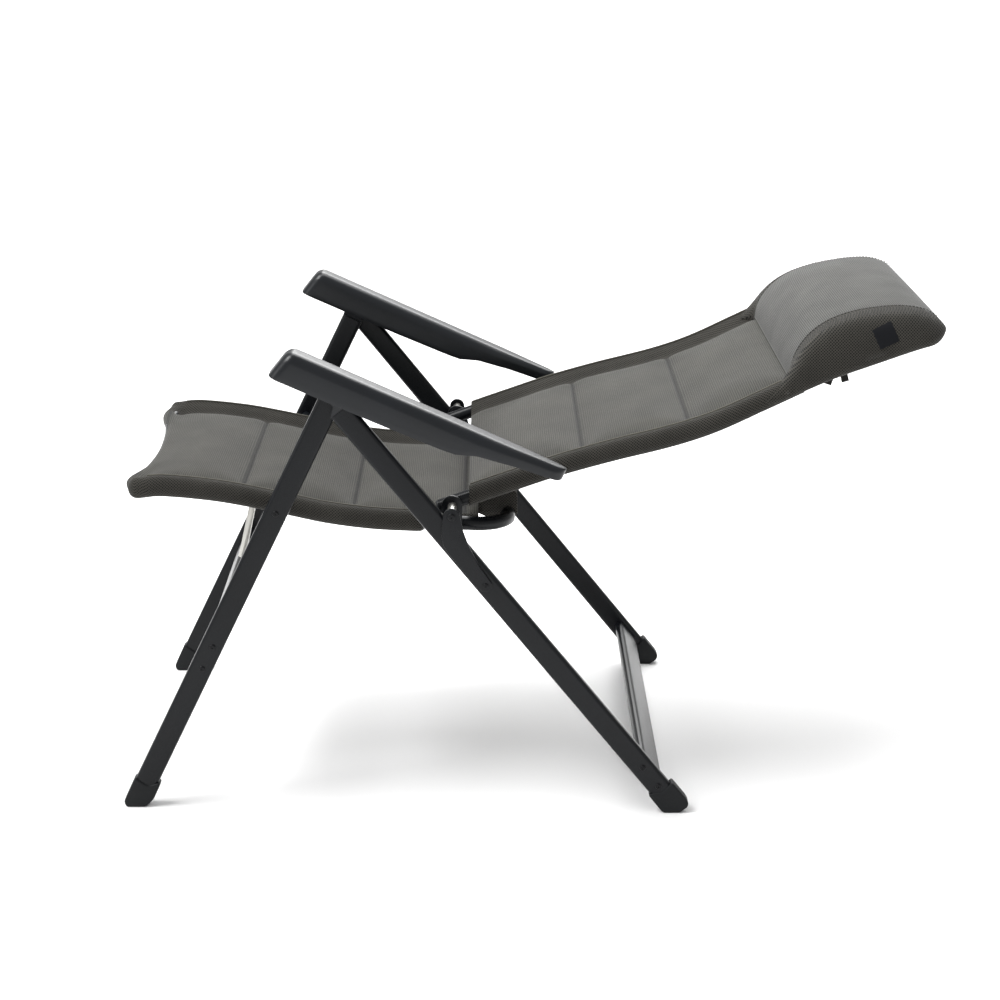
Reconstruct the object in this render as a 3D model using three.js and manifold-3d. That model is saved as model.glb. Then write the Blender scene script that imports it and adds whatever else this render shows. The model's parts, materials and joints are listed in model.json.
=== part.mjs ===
// Reclining camping chair with a padded cover, shown laid back. Millimetres, +Z up, +X towards the head.
// Left is the sitter's left, at -Y. Side-view positions are (x, z) from the tip of the front foot.
import * as THREE from "three";
import { mergeVertices } from "three/addons/utils/BufferGeometryUtils.js";
import Module from "manifold-3d";

const wasm = await Module();
wasm.setup();

// Overall sizes
const GAP = 0.4; // between pieces that touch on the real chair
const ARMREST_OUT = 322; // half of the overall width
const ARMREST_WALL = 2.6;

// Pivots in side view
const APEX = [322, 652];
const SEAT_PIVOT = [239.6, 460.8];
const HINGE = [494.4, 465.2];
const ARM_PIVOT = [543, 361];

// Legs
const LEG_W = 33.6;
const LEG_T = 17;
const LEG_R = 6;
const LEG_WALL = 1.6;
const REAR_OUT = 316;
const FRONT_OUT = 290;
const FRONT_ANGLE = 63.9;
const FRONT_ON = [47.35, 68.45]; // a point of the front leg's axis
const REAR_ANGLE = -51.37;
const REAR_ON = [588.1, 306.1];
const LEG_TOP_FRONT = 627;
const LEG_TOP_REAR = 620;
const LEG_END = 13;
const CAP_WALL = 2.4;
const PLUG_INSET = 0.8; // plugs are thinner than the legs by this on each side
const PLUG_CLEAR = 1.2; // from a plug to the armrest's wall
const ARMREST_W = ARMREST_OUT - (FRONT_OUT - LEG_T + PLUG_INSET) + PLUG_CLEAR + ARMREST_WALL;

// Stretchers: flat oval tubes
const STRETCH_W = 48;
const STRETCH_T = 16;
const STRETCH_R = 6.5;
const FRONT_STRETCH = [132.3, 238.7];
const REAR_STRETCH = [788, 58];

// Seat and back frames: round tube
const TUBE_R = 10.5;
const BACK_Y = 247;
const RAIL_STEP = 22.5; // the seat's rails run this far inside the back's
const SEAT_Y = BACK_Y - RAIL_STEP;
const HEAD_INSET = 11;
const HEAD_HALF = BACK_Y - HEAD_INSET;
const SLEEVE_R = 13.6;
const TUNNEL_R = TUBE_R + GAP;
const PANEL_UP = 9.5;
const PANEL_DOWN = 7.5;
const BEND = 62;
const SEAT_RAIL = [
  [34, 480], [60, 483], [90, 481.5], [121, 478.4], [160, 473], [213, 462.5], [260, 452],
  [310, 441], [373, 432.4], [430, 429], [480, 427.5], [520, 426],
];
const SEAT_REAR = [577, 418];
const FRONT_SAG = [14, -9];
const SEAT_SLEEVE_END = 452;
const BACK_RAIL = [
  [477, 459], [494.4, 465.2], [540, 481.5], [590, 499], [650, 519.5], [727, 541.5], [817, 564.5],
  [882, 587], [952, 620], [1035, 659], [1111, 687], [1165, 706],
];
const BACK_TOP = [1190, 713];
const BACK_SLEEVE_START = 519;

// Hinge
const ARM_T = 4.2;
const ARM_HEAD_R = 12.3;
const SPACER_R = 6.4;
const BRACKET_T = 4;
const BRACKET_R = 15;
const PIN_AT = [632, 514];

const group = new THREE.Group();

const colours = {
  frame: [0x2f3136, 0.42, 0.6],
  plastic: [0x2b2d31, 0.55, 0],
  cap: [0x303237, 0.7, 0],
  steel: [0x1d1e20, 0.4, 0.8],
  mesh: [0x3f3e38, 0.95, 0],
  panel: [0x56554e, 0.95, 0],
  tab: [0x1b2233, 0.8, 0],
};

function add(name, solid, look) {
  const [color, roughness, metalness] = colours[look];
  const material = new THREE.MeshStandardMaterial({ color, roughness, metalness });
  const mesh = new THREE.Mesh(toGeometry(solid), material);
  mesh.name = name;
  group.add(mesh);
}

function toSolid(geometry) {
  const bare = new THREE.BufferGeometry();
  const flat = geometry.index ? geometry.toNonIndexed() : geometry;
  bare.setAttribute("position", flat.getAttribute("position"));
  const merged = mergeVertices(bare, 1e-4);
  const mesh = new wasm.Mesh({
    numProp: 3,
    vertProperties: new Float32Array(merged.attributes.position.array),
    triVerts: new Uint32Array(merged.index.array),
  });
  const solid = new wasm.Manifold(mesh);
  if (solid.volume() >= 0) return solid;
  for (let i = 0; i < mesh.triVerts.length; i += 3) {
    const keep = mesh.triVerts[i];
    mesh.triVerts[i] = mesh.triVerts[i + 1];
    mesh.triVerts[i + 1] = keep;
  }
  return new wasm.Manifold(mesh);
}

function toGeometry(solid) {
  const mesh = solid.getMesh();
  const geometry = new THREE.BufferGeometry();
  geometry.setAttribute("position", new THREE.BufferAttribute(mesh.vertProperties, 3));
  geometry.setIndex(new THREE.BufferAttribute(mesh.triVerts, 1));
  geometry.computeVertexNormals();
  return geometry;
}

function shapeOf(points) {
  return new THREE.Shape(points.map(([x, y]) => new THREE.Vector2(x, y)));
}

// A side-view outline given depth along Y, from y0 to y1.
function plate(points, y0, y1) {
  const geometry = new THREE.ExtrudeGeometry(shapeOf(points), { depth: y1 - y0, bevelEnabled: false });
  geometry.rotateX(Math.PI / 2);
  geometry.translate(0, y1, 0);
  return toSolid(geometry);
}

// The same on one side of the chair: a and b are distances from the middle plane.
function sidePlate(points, side, a, b) {
  return side < 0 ? plate(points, -b, -a) : plate(points, a, b);
}

function arc(cx, cz, r, from, to, steps) {
  const out = [];
  for (let i = 0; i <= steps; i++) {
    const t = THREE.MathUtils.degToRad(from + ((to - from) * i) / steps);
    out.push([cx + r * Math.cos(t), cz + r * Math.sin(t)]);
  }
  return out;
}

function circle([cx, cz], r, steps = 20) {
  return arc(cx, cz, r, 0, 360, steps).slice(0, -1);
}

// Convex outline around a set of points.
function hull(points) {
  const p = [...points].sort((a, b) => a[0] - b[0] || a[1] - b[1]);
  const cross = (o, a, b) => (a[0] - o[0]) * (b[1] - o[1]) - (a[1] - o[1]) * (b[0] - o[0]);
  const half = (list) => {
    const out = [];
    for (const q of list) {
      while (out.length > 1 && cross(out[out.length - 2], out[out.length - 1], q) <= 1e-6) out.pop();
      out.push(q);
    }
    out.pop();
    return out;
  };
  return [...half(p), ...half(p.reverse())];
}

// Outline with its corners rounded: each point is [x, z, radius].
function rounded(points, steps = 5) {
  const out = [];
  const n = points.length;
  points.forEach(([x, z, r], i) => {
    const [ax, az] = points[(i + n - 1) % n];
    const [bx, bz] = points[(i + 1) % n];
    if (!r) {
      out.push([x, z]);
      return;
    }
    const a = new THREE.Vector2(ax - x, az - z).normalize();
    const b = new THREE.Vector2(bx - x, bz - z).normalize();
    const half = Math.acos(THREE.MathUtils.clamp(a.dot(b), -1, 1)) / 2;
    const cut = r / Math.tan(half);
    const mid = a.clone().add(b).normalize().multiplyScalar(r / Math.sin(half));
    const from = Math.atan2(a.y * cut - mid.y, a.x * cut - mid.x);
    let turn = Math.atan2(b.y * cut - mid.y, b.x * cut - mid.x) - from;
    if (turn > Math.PI) turn -= 2 * Math.PI;
    if (turn < -Math.PI) turn += 2 * Math.PI;
    for (let k = 0; k <= steps; k++) {
      const t = from + (turn * k) / steps;
      out.push([x + mid.x + r * Math.cos(t), z + mid.y + r * Math.sin(t)]);
    }
  });
  return out;
}

function box2(w, h, r, steps = 4) {
  return rounded(
    [[-w / 2, -h / 2, r], [w / 2, -h / 2, r], [w / 2, h / 2, r], [-w / 2, h / 2, r]],
    steps,
  );
}

// A straight bar with a flat-oval section between two side-view points, centred at distance y.
function bar(p, q, y, w, t, r, wall = 0) {
  const length = Math.hypot(q[0] - p[0], q[1] - p[1]);
  const shape = shapeOf(box2(w, t, r));
  if (wall) shape.holes.push(new THREE.Path(shapeOf(box2(w - 2 * wall, t - 2 * wall,
    r - wall)).getPoints()));
  const geometry = new THREE.ExtrudeGeometry(shape, { depth: length, bevelEnabled: false });
  // Section x lies across the bar in side view, section y lies along Y, depth along the bar.
  const d = new THREE.Vector3(q[0] - p[0], 0, q[1] - p[1]).normalize();
  const yAxis = new THREE.Vector3(0, 1, 0);
  const xAxis = new THREE.Vector3().crossVectors(yAxis, d);
  geometry.applyMatrix4(new THREE.Matrix4().makeBasis(xAxis, yAxis, d));
  geometry.translate(p[0], y, p[1]);
  return toSolid(geometry);
}

// A cross bar along Y with its section turned to an angle in side view.
function crossBar([x, z], angle, w, t, r, y0, y1, wall = 0) {
  const shape = shapeOf(box2(w, t, r));
  if (wall) shape.holes.push(new THREE.Path(shapeOf(box2(w - 2 * wall, t - 2 * wall,
    r - wall)).getPoints()));
  const geometry = new THREE.ExtrudeGeometry(shape, { depth: y1 - y0, bevelEnabled: false });
  geometry.rotateX(Math.PI / 2);
  geometry.rotateY(-THREE.MathUtils.degToRad(angle));
  geometry.translate(x, y1, z);
  return toSolid(geometry);
}

// A round rod along Y.
function rod([x, z], r, y0, y1, steps = 20) {
  return plate(circle([x, z], r, steps), y0, y1);
}

function sideRod(at, r, side, a, b, steps = 20) {
  return side < 0 ? rod(at, r, -b, -a, steps) : rod(at, r, a, b, steps);
}

// A round tube along a curve through points in space.
function tube(points, r, sides = 16, steps = 60) {
  const curve = new THREE.CatmullRomCurve3(
    points.map(([x, y, z]) => new THREE.Vector3(x, y, z)),
    false,
    "centripetal",
  );
  const shape = shapeOf(circle([0, 0], r, sides));
  return toSolid(new THREE.ExtrudeGeometry(shape, { steps, extrudePath: curve, bevelEnabled: false }));
}

function lineAt(on, angle, z) {
  return [on[0] + (z - on[1]) / Math.tan(THREE.MathUtils.degToRad(angle)), z];
}

function zOn(list, x) {
  for (let i = 1; i < list.length; i++) {
    if (x <= list[i][0]) {
      const [x0, z0] = list[i - 1];
      const [x1, z1] = list[i];
      return z0 + ((z1 - z0) * (x - x0)) / (x1 - x0);
    }
  }
  return list[list.length - 1][1];
}

// ---- Legs, plugs and foot caps
const frontTop = lineAt(FRONT_ON, FRONT_ANGLE, LEG_TOP_FRONT);
const frontEnd = lineAt(FRONT_ON, FRONT_ANGLE, LEG_END);
const rearTop = lineAt(REAR_ON, REAR_ANGLE, LEG_TOP_REAR);
const rearEnd = lineAt(REAR_ON, REAR_ANGLE, LEG_END);

const FRONT_CAP = rounded([
  [16.8, 48, 2], [-2, 8, 9], [2, 0, 5], [31, 0, 10], [43, 12, 12], [56.2, 40, 2], [36, 34, 10],
]);
const REAR_CAP = rounded([
  [784, 30, 2], [807, 0, 10], [833, 0, 9], [848, 12, 9], [841, 24, 10], [820.5, 49.5, 2], [806, 34, 10],
]);

function cornersOf(at, angle) {
  const t = THREE.MathUtils.degToRad(angle + 90);
  const h = LEG_W / 2;
  return [
    [at[0] + h * Math.cos(t), at[1] + h * Math.sin(t)],
    [at[0] - h * Math.cos(t), at[1] - h * Math.sin(t)],
  ];
}

const sides = [["left", -1], ["right", 1]];
const caps = {};
for (const [name, side] of sides) {
  const frontY = side * (FRONT_OUT - LEG_T / 2);
  const rearY = side * (REAR_OUT - LEG_T / 2);
  add("front_leg_" + name, bar(frontEnd, frontTop, frontY, LEG_W, LEG_T, LEG_R, LEG_WALL), "frame");
  add("rear_leg_" + name, bar(rearEnd, rearTop, rearY, LEG_W, LEG_T, LEG_R, LEG_WALL), "frame");

  // Foot caps: cups over the tube ends.
  const cup = (outline, out, end, top, y) => {
    const body = sidePlate(outline, side, out - LEG_T - CAP_WALL, out + CAP_WALL);
    const pocket = bar(end, top, y, LEG_W + 2 * GAP, LEG_T + 2 * GAP, LEG_R);
    return body.subtract(pocket);
  };
  const low = (end, top) => [end[0] + (end[0] - top[0]) * 0.0006, end[1] + (end[1] - top[1]) * 0.0006];
  caps["front" + name] = sidePlate(FRONT_CAP, side, FRONT_OUT - LEG_T - CAP_WALL - GAP, FRONT_OUT);
  caps["rear" + name] = sidePlate(REAR_CAP, side, REAR_OUT - LEG_T - CAP_WALL - GAP, REAR_OUT);
  add("front_foot_" + name, cup(FRONT_CAP, FRONT_OUT, low(frontEnd, frontTop), frontTop, frontY), "cap");
  add("rear_foot_" + name, cup(REAR_CAP, REAR_OUT, low(rearEnd, rearTop), rearTop, rearY), "cap");

  // Apex plugs: each carries the leg's end up to the common pivot.
  const inset = PLUG_INSET;
  const lift = (list, on, d) => list.map(([x, z]) => [x + on[0] * d, z + on[1] * d]);
  const fDir = [Math.cos(THREE.MathUtils.degToRad(FRONT_ANGLE)),
    Math.sin(THREE.MathUtils.degToRad(FRONT_ANGLE))];
  const rDir = [Math.cos(THREE.MathUtils.degToRad(REAR_ANGLE + 180)),
    Math.sin(THREE.MathUtils.degToRad(REAR_ANGLE + 180))];
  const fEdge = lift(cornersOf(frontTop, FRONT_ANGLE), fDir, GAP);
  const rEdge = lift(cornersOf(rearTop, REAR_ANGLE + 180), rDir, GAP);
  const fPlug = hull([...fEdge, ...circle(APEX, 11, 18)]);
  add("front_plug_" + name, sidePlate(fPlug, side, FRONT_OUT - LEG_T + inset, FRONT_OUT - inset),
    "plastic");
  const low2 = rEdge[0][0] < rEdge[1][0] ? rEdge[0] : rEdge[1];
  const neck = [low2[0] + 4, low2[1] + 17];
  const rPlug = sidePlate(hull([...rEdge, neck]), side, REAR_OUT - LEG_T + inset, REAR_OUT - inset)
    .add(sidePlate(hull([...circle(APEX, 11, 18), neck, [low2[0] + 26, low2[1] + 20]]), side,
      REAR_OUT - LEG_T + inset, REAR_OUT - inset));
  const rearKeep = bar(rearEnd, lift([rearTop], rDir, GAP)[0], rearY, LEG_W + 1, LEG_T + 1, LEG_R);
  add("rear_plug_" + name, rPlug.subtract(rearKeep), "plastic");
  add("apex_washer_" + name, sideRod(APEX, 9, side, FRONT_OUT - inset + GAP,
    REAR_OUT - LEG_T + inset - GAP, 16), "steel");
}

// ---- Stretchers between the legs
const frontIn = FRONT_OUT - LEG_T - GAP;
const rearIn = REAR_OUT - LEG_T - GAP;
add("front_stretcher",
  crossBar(FRONT_STRETCH, FRONT_ANGLE, STRETCH_W, STRETCH_T, STRETCH_R, -frontIn, frontIn,
    LEG_WALL), "frame");
add("rear_stretcher",
  crossBar(REAR_STRETCH, REAR_ANGLE, STRETCH_W, STRETCH_T, STRETCH_R, -rearIn, rearIn, LEG_WALL)
    .subtract(caps.rearleft)
    .subtract(caps.rearright), "frame");

// Thin stay that stands on the front stretcher, under the seat.
add("front_stay", tube([[143, 96, 268], [151, 97, 300], [162, 99, 350], [176, 101, 402],
  [186, 102, 432]], 5.6, 12, 16), "frame");

// ---- Seat frame: side rails, a bowed front bar and a rear loop behind the hinge
function seatPath() {
  const out = [];
  const right = SEAT_RAIL.map(([x, z]) => [x, SEAT_Y, z]);
  const n = SEAT_RAIL.length - 1;
  out.push(...right.slice(1).reverse());
  out.push([SEAT_RAIL[0][0] + 4, SEAT_Y - 8, SEAT_RAIL[0][1] - 1]);
  out.push([SEAT_RAIL[0][0] - 8, SEAT_Y - 36, SEAT_RAIL[0][1] - 2]);
  out.push([SEAT_RAIL[0][0] - 8 + FRONT_SAG[0] * 0.7, 100, SEAT_RAIL[0][1] + FRONT_SAG[1] * 0.8]);
  out.push([SEAT_RAIL[0][0] - 8 + FRONT_SAG[0], 0, SEAT_RAIL[0][1] + FRONT_SAG[1]]);
  const mirror = out.slice(0, -1).reverse().map(([x, y, z]) => [x, -y, z]);
  return { front: [...out, ...mirror], end: SEAT_RAIL[n] };
}
const seatPathData = seatPath();
function rearLoop() {
  const [x, z] = SEAT_RAIL[SEAT_RAIL.length - 1];
  const [rx, rz] = SEAT_REAR;
  const half = [];
  half.push([x - 40, SEAT_Y, zOn(SEAT_RAIL, x - 40)]);
  half.push([x, SEAT_Y, z]);
  for (let i = 1; i < 7; i++) {
    const t = (i / 6) * (Math.PI / 2);
    half.push([rx - BEND + BEND * Math.sin(t), SEAT_Y - BEND + BEND * Math.cos(t), z + (rz - z) * (i / 6)]);
  }
  half.push([rx, 80, rz]);
  return [...half, [rx, 0, rz], ...half.map(([a, b, c]) => [a, -b, c]).reverse()];
}
const seatTube = tube(seatPathData.front, TUBE_R, 12, 56).add(tube(rearLoop(), TUBE_R, 12, 28));
add("seat_frame", seatTube, "frame");

// Seat cover: sleeves round the tube and a panel between them.
const panelLine = [...SEAT_RAIL.filter(([x]) => x < 440), [455, 434], [480, 441], [506, 450]];
function panelSolid(line, halfY, up, down) {
  const top = line.map(([x, z]) => [x, z + up]);
  const bottom = line.map(([x, z]) => [x, z - down]).reverse();
  return plate([...top, ...bottom], -halfY, halfY);
}
function beyond(x, keepBelow) {
  const w = 3000;
  const pts = keepBelow ? [[x, -w], [x + w, -w], [x + w, w], [x, w]] : [[x - w, -w], [x, -w], [x, w],
    [x - w, w]];
  return plate(pts, -500, 500);
}
const seatSleeve = tube(seatPathData.front, SLEEVE_R, 10, 56).subtract(beyond(SEAT_SLEEVE_END, true));
const seatTunnel = tube(seatPathData.front, TUNNEL_R, 12, 56);
const seatPanelFront = panelSolid(panelLine.filter(([x]) => x < 440), SEAT_Y, PANEL_UP, PANEL_DOWN);
const seatPanelRear = panelSolid([panelLine.filter(([x]) => x < 440).pop(),
  ...panelLine.filter(([x]) => x > 440)],
  SEAT_Y - TUNNEL_R - 3, PANEL_UP, PANEL_DOWN);
const frontLip = plate(circle([36, 473], 10, 16), -SEAT_Y + 20, SEAT_Y - 20);
add("seat_cushion",
  seatSleeve.add(seatPanelFront).add(seatPanelRear).add(frontLip)
    .subtract(seatTunnel).subtract(seatTube), "panel");

// ---- Hinge brackets, arms, bolts
for (const [name, side] of sides) {
  const tubeOut = BACK_Y + TUBE_R;
  const plateIn = tubeOut + 3;
  const plateOut = plateIn + BRACKET_T;
  const foot = [[482, 414], [508, 414], [508, 441], [482, 441]];
  const bracket = sidePlate(hull([...circle(HINGE, BRACKET_R, 24), ...foot]), side, plateIn, plateOut)
    .add(sidePlate(rounded([[480, 416.5, 4], [509, 416.5, 4], [509, 439, 4], [480, 439, 4]], 3), side,
      SEAT_Y + TUBE_R + GAP, plateOut - 0.5));
  add("seat_bracket_" + name, bracket, "frame");
  add("hinge_washer_" + name, sideRod(HINGE, 12, side, tubeOut + GAP, plateIn - GAP, 20), "steel");
  add("hinge_spacer_" + name, sideRod(HINGE, SPACER_R, side, plateOut + 0.8, REAR_OUT + GAP - 0.01, 20)
    .subtract(bar(rearEnd, rearTop, side * (REAR_OUT - LEG_T / 2), LEG_W + 2 * GAP, LEG_T + 2 * GAP,
      LEG_R)), "steel");

  const outline = hornOutline();
  const arm = sidePlate(outline, side, REAR_OUT + GAP + GAP, REAR_OUT + 2 * GAP + ARM_T);
  add("hinge_arm_" + name, arm, "frame");
  const cap = REAR_OUT + 2 * GAP + ARM_T;
  const armBolt = sideRod(HINGE, 5.4, side, cap + 0.3, cap + 1.6, 18).subtract(
    sidePlate(circle(HINGE, 2.4, 6), side, cap + 0.8, cap + 3));
  add("hinge_bolt_" + name, armBolt, "steel");
  add("arm_rivet_" + name, sideRod(ARM_PIVOT, 3.6, side, cap + 0.3, cap + 1.3, 14), "steel");
  add("seat_bolt_" + name, sideRod(SEAT_PIVOT, 5, side, FRONT_OUT + 0.3, FRONT_OUT + 2, 16).subtract(
    sidePlate(circle(SEAT_PIVOT, 2.2, 6), side, FRONT_OUT + 1, FRONT_OUT + 4)), "steel");
  add("seat_spacer_" + name,
    sideRod(SEAT_PIVOT, 7, side, SEAT_Y + SLEEVE_R + 0.6, FRONT_OUT - LEG_T - GAP, 16), "plastic");
}

function hornOutline() {
  const head = arc(HINGE[0], HINGE[1], ARM_HEAD_R, 10, 170, 14);
  const left = [[480.2, 452], [479.6, 436], [482.5, 421], [491, 408], [503, 393], [517, 375.5]];
  const tip = arc(ARM_PIVOT[0], ARM_PIVOT[1], 9.5, 215, 400, 12);
  const right = [[534, 391.5], [523.9, 411], [516.7, 427.3], [510.6, 444.5]];
  return [...head, ...left, [528, 362], ...tip, ...right];
}

// ---- Back frame: one bent tube from hinge to hinge over the head end
const backHalf = BACK_RAIL.map(([x, z]) => [x, BACK_Y, z]);
const [topX, topZ] = BACK_TOP;
for (let i = 1; i < 6; i++) {
  const t = (i / 6) * (Math.PI / 2);
  const x0 = BACK_RAIL[BACK_RAIL.length - 1][0];
  const z0 = BACK_RAIL[BACK_RAIL.length - 1][1];
  backHalf.push([x0 + (topX - x0) * Math.sin(t), BACK_Y - BEND * (1 - Math.cos(t)),
    z0 + (topZ - z0) * Math.sin(t)]);
}
backHalf.push([topX, BACK_Y - BEND, topZ]);
backHalf.push([topX, 90, topZ]);
const backPath = [...backHalf, [topX, 0, topZ], ...backHalf.map(([a, b, c]) => [a, -b, c]).reverse()];
const backTube = tube(backPath, TUBE_R, 12, 64);
add("back_frame", backTube, "frame");

const backSleeve = tube(backPath, SLEEVE_R, 10, 64).subtract(beyond(BACK_SLEEVE_START, false));
const backLine = [[517, 473.5], ...BACK_RAIL.filter(([x]) => x > 520), BACK_TOP];
const backPanel = panelSolid(backLine, BACK_Y - 2, PANEL_UP, PANEL_DOWN)
  .subtract(sidePlate([[1130, 600], [1300, 600], [1300, 800], [1130, 800]], 1, BACK_Y - 55, 400))
  .subtract(sidePlate([[1130, 600], [1300, 600], [1300, 800], [1130, 800]], -1, BACK_Y - 55, 400));
const cornerFill = panelSolid(backLine.filter(([x]) => x > 1100), BACK_Y - 40, PANEL_UP, PANEL_DOWN);
add("back_cushion",
  backSleeve.add(backPanel).add(cornerFill)
    .subtract(tube(backPath, TUNNEL_R, 12, 64)).subtract(backTube), "panel");

// Head cushion on the upper end of the cover
const headBase = [[996, 658], [1035, 677], [1073, 692], [1111, 704.5], [1150, 718.5], [1178, 729],
  [1203, 731]];
const headTop = [[1207, 738], [1198, 749], [1168, 759.5], [1130, 762.5], [1090, 760], [1054, 750.5],
  [1024, 733], [1003, 703], [991, 672]];
add("head_cushion", plate([...headBase, ...headTop], -HEAD_HALF, HEAD_HALF), "panel");

// Side tab, junction loop behind the seat, end plugs and ratchet pins
add("side_tab", plate([[1122.7, 735], [1095.5, 722.4], [1107.3, 697], [1134.5, 709.6]], -HEAD_HALF - 3, -HEAD_HALF - 0.6),
  "tab");
const loopOuter = hull([...circle(SEAT_REAR, SLEEVE_R, 18), ...circle([556, 452], 5, 12),
  ...circle([586, 448], 4, 12)]);
const loopInner = hull([...circle(SEAT_REAR, TUNNEL_R, 18), ...circle([559, 447], 3, 12),
  ...circle([583, 444], 2, 12)]);
add("junction_loop", plate(loopOuter, -150, 150).subtract(plate(loopInner, -160, 160))
  .subtract(tube(rearLoop(), TUNNEL_R, 12, 28)), "mesh");

for (const [name, side] of sides) {
  const dir = new THREE.Vector3(BACK_RAIL[1][0] - BACK_RAIL[0][0], 0,
    BACK_RAIL[1][1] - BACK_RAIL[0][1]).normalize();
  const end = new THREE.CylinderGeometry(TUBE_R, TUBE_R - 1, 4, 16);
  end.applyMatrix4(new THREE.Matrix4().makeRotationFromQuaternion(
    new THREE.Quaternion().setFromUnitVectors(new THREE.Vector3(0, 1, 0), dir)));
  end.translate(BACK_RAIL[0][0] - dir.x * 2.4, side * BACK_Y, BACK_RAIL[0][1] - dir.z * 2.4);
  add("back_end_plug_" + name, toSolid(end), "plastic");
  add("ratchet_pin_" + name, sideRod(PIN_AT, 5, side, BACK_Y + SLEEVE_R + 0.5,
    ARMREST_OUT - ARMREST_W - 0.6, 16), "steel");
}

// ---- Armrests: a chamfered channel, open below, with a ratchet rack inside
const ARMREST_SIDE = rounded([
  [266, 708, 12], [238.5, 674.5, 7], [251, 665.5, 4], [391, 603.5, 30], [478, 566.5, 12],
  [500, 558, 12], [532, 555.5, 30],
  [580.8, 541, 40], [626.6, 523, 20], [652, 514, 6], [660, 530, 9],
], 4);
const ARM_AXIS = -24.3;
for (const [name, side] of sides) {
  const outer = ARMREST_OUT;
  const inner = ARMREST_OUT - ARMREST_W;
  const mid = (side * (outer + inner)) / 2;
  const body = sidePlate(ARMREST_SIDE, side, inner, outer);
  const a = THREE.MathUtils.degToRad(ARM_AXIS);
  const along = new THREE.Vector3(Math.cos(a), 0, Math.sin(a));
  const upward = new THREE.Vector3(-Math.sin(a), 0, Math.cos(a));
  const across = new THREE.Vector3().crossVectors(upward, along);
  const start = new THREE.Vector3(266, mid, 708).addScaledVector(along, -60);
  // Section across the armrest: wide shoulders under a flat top.
  const h = ARMREST_W / 2;
  const section = [[-h, -90], [h, -90], [h, -13], [h - 2, -8], [h - 10, -1], [h - 14, 0], [-h + 14, 0],
    [-h + 10, -1],
    [-h + 2, -8], [-h, -13]];
  const long = new THREE.ExtrudeGeometry(shapeOf(section), { depth: 560, bevelEnabled: false });
  long.applyMatrix4(new THREE.Matrix4().makeBasis(across, upward, along));
  long.translate(start.x, start.y, start.z);
  // Plan: rounded nose and a narrower rounded tail.
  const plan = rounded([[26, -h, 13], [416, -h, 0], [486, -h + 7, 17], [486, h - 7, 17], [416, h, 0],
    [26, h, 13]], 6);
  const tall = new THREE.ExtrudeGeometry(shapeOf(plan), { depth: 400, bevelEnabled: false });
  tall.applyMatrix4(new THREE.Matrix4().makeBasis(along, across, upward.clone().negate()));
  tall.translate(start.x + upward.x * 150, start.y, start.z + upward.z * 150);
  const hollowSide = [[274, 600], [274, 676], [286, 688], [580, 556.8], [586, 500], [480, 500]];
  const hollow = sidePlate(hollowSide, side, inner + ARMREST_WALL, outer - ARMREST_WALL);
  add("armrest_" + name, body.intersect(toSolid(long)).intersect(toSolid(tall)).subtract(hollow),
    "plastic");

  const underTop = (x) => 687 - 0.4461 * (x - 286);
  const underside = [[500, 558], [532, 555.5], [580.8, 541], [626.6, 523]];
  const teeth = [[496, underTop(496)]];
  for (let i = 0; i < 6; i++) {
    const x = 496 + i * 14;
    const z = zOn(underside, x) + 4;
    teeth.push([x, z + 5.5], [x + 3, z], [x + 9, z - 3], [x + 12, z + 1.5]);
  }
  teeth.push([579.5, underTop(579.5) + 0.2]);
  add("ratchet_rack_" + name, sidePlate(teeth, side, inner + 4, inner + 12), "steel");
}

// The middle of the length becomes x = 0.
const extent = new THREE.Box3().setFromObject(group, true);
const middle = (extent.min.x + extent.max.x) / 2;
for (const mesh of group.children) mesh.position.x = -middle;

export default group;
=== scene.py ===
"""Reclining camping chair: padded covers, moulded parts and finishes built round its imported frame."""
import json
import math

import bmesh
import bpy
import numpy as np
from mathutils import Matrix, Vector


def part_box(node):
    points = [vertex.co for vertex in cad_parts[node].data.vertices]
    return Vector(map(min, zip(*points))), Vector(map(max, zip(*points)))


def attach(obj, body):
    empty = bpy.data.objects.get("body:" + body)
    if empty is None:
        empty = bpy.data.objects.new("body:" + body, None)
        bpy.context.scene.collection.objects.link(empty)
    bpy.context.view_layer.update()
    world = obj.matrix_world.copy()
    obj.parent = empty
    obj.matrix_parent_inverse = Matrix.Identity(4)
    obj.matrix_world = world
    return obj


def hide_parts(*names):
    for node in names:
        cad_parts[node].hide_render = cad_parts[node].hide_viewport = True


bl_info = {
    "name": "Reclining camping chair",
    "version": (1, 0, 0),
    "blender": (4, 5, 0),
    "location": "View3D > Sidebar > Chair",
    "description": "Builds the covers, tubes, armrests and fittings of a reclining camping chair",
    "category": "Add Mesh",
}

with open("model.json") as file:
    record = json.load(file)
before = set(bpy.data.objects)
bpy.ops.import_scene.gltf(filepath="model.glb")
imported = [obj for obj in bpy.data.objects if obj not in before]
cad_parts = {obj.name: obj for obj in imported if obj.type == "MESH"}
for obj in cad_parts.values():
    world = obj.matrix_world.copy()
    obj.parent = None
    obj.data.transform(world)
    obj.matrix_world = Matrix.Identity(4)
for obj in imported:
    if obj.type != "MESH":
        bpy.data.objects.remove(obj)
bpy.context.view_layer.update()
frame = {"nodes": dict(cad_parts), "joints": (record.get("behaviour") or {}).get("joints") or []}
JOINTS = {j["name"]: j for j in frame["joints"]}

# Side-view positions below are millimetres from the tip of the front foot; SHIFT moves them to the row frame.
SHIFT = JOINTS["fold"]["pos_m"][0] - 0.322
SIDES = (("left", -1), ("right", 1))


def at(x, y, z):
    """A point from side-view millimetres and a sideways distance, in metres."""
    return Vector((x / 1000 + SHIFT, y / 1000, z / 1000))


# ---------------------------------------------------------------- sizes and colours


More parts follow.
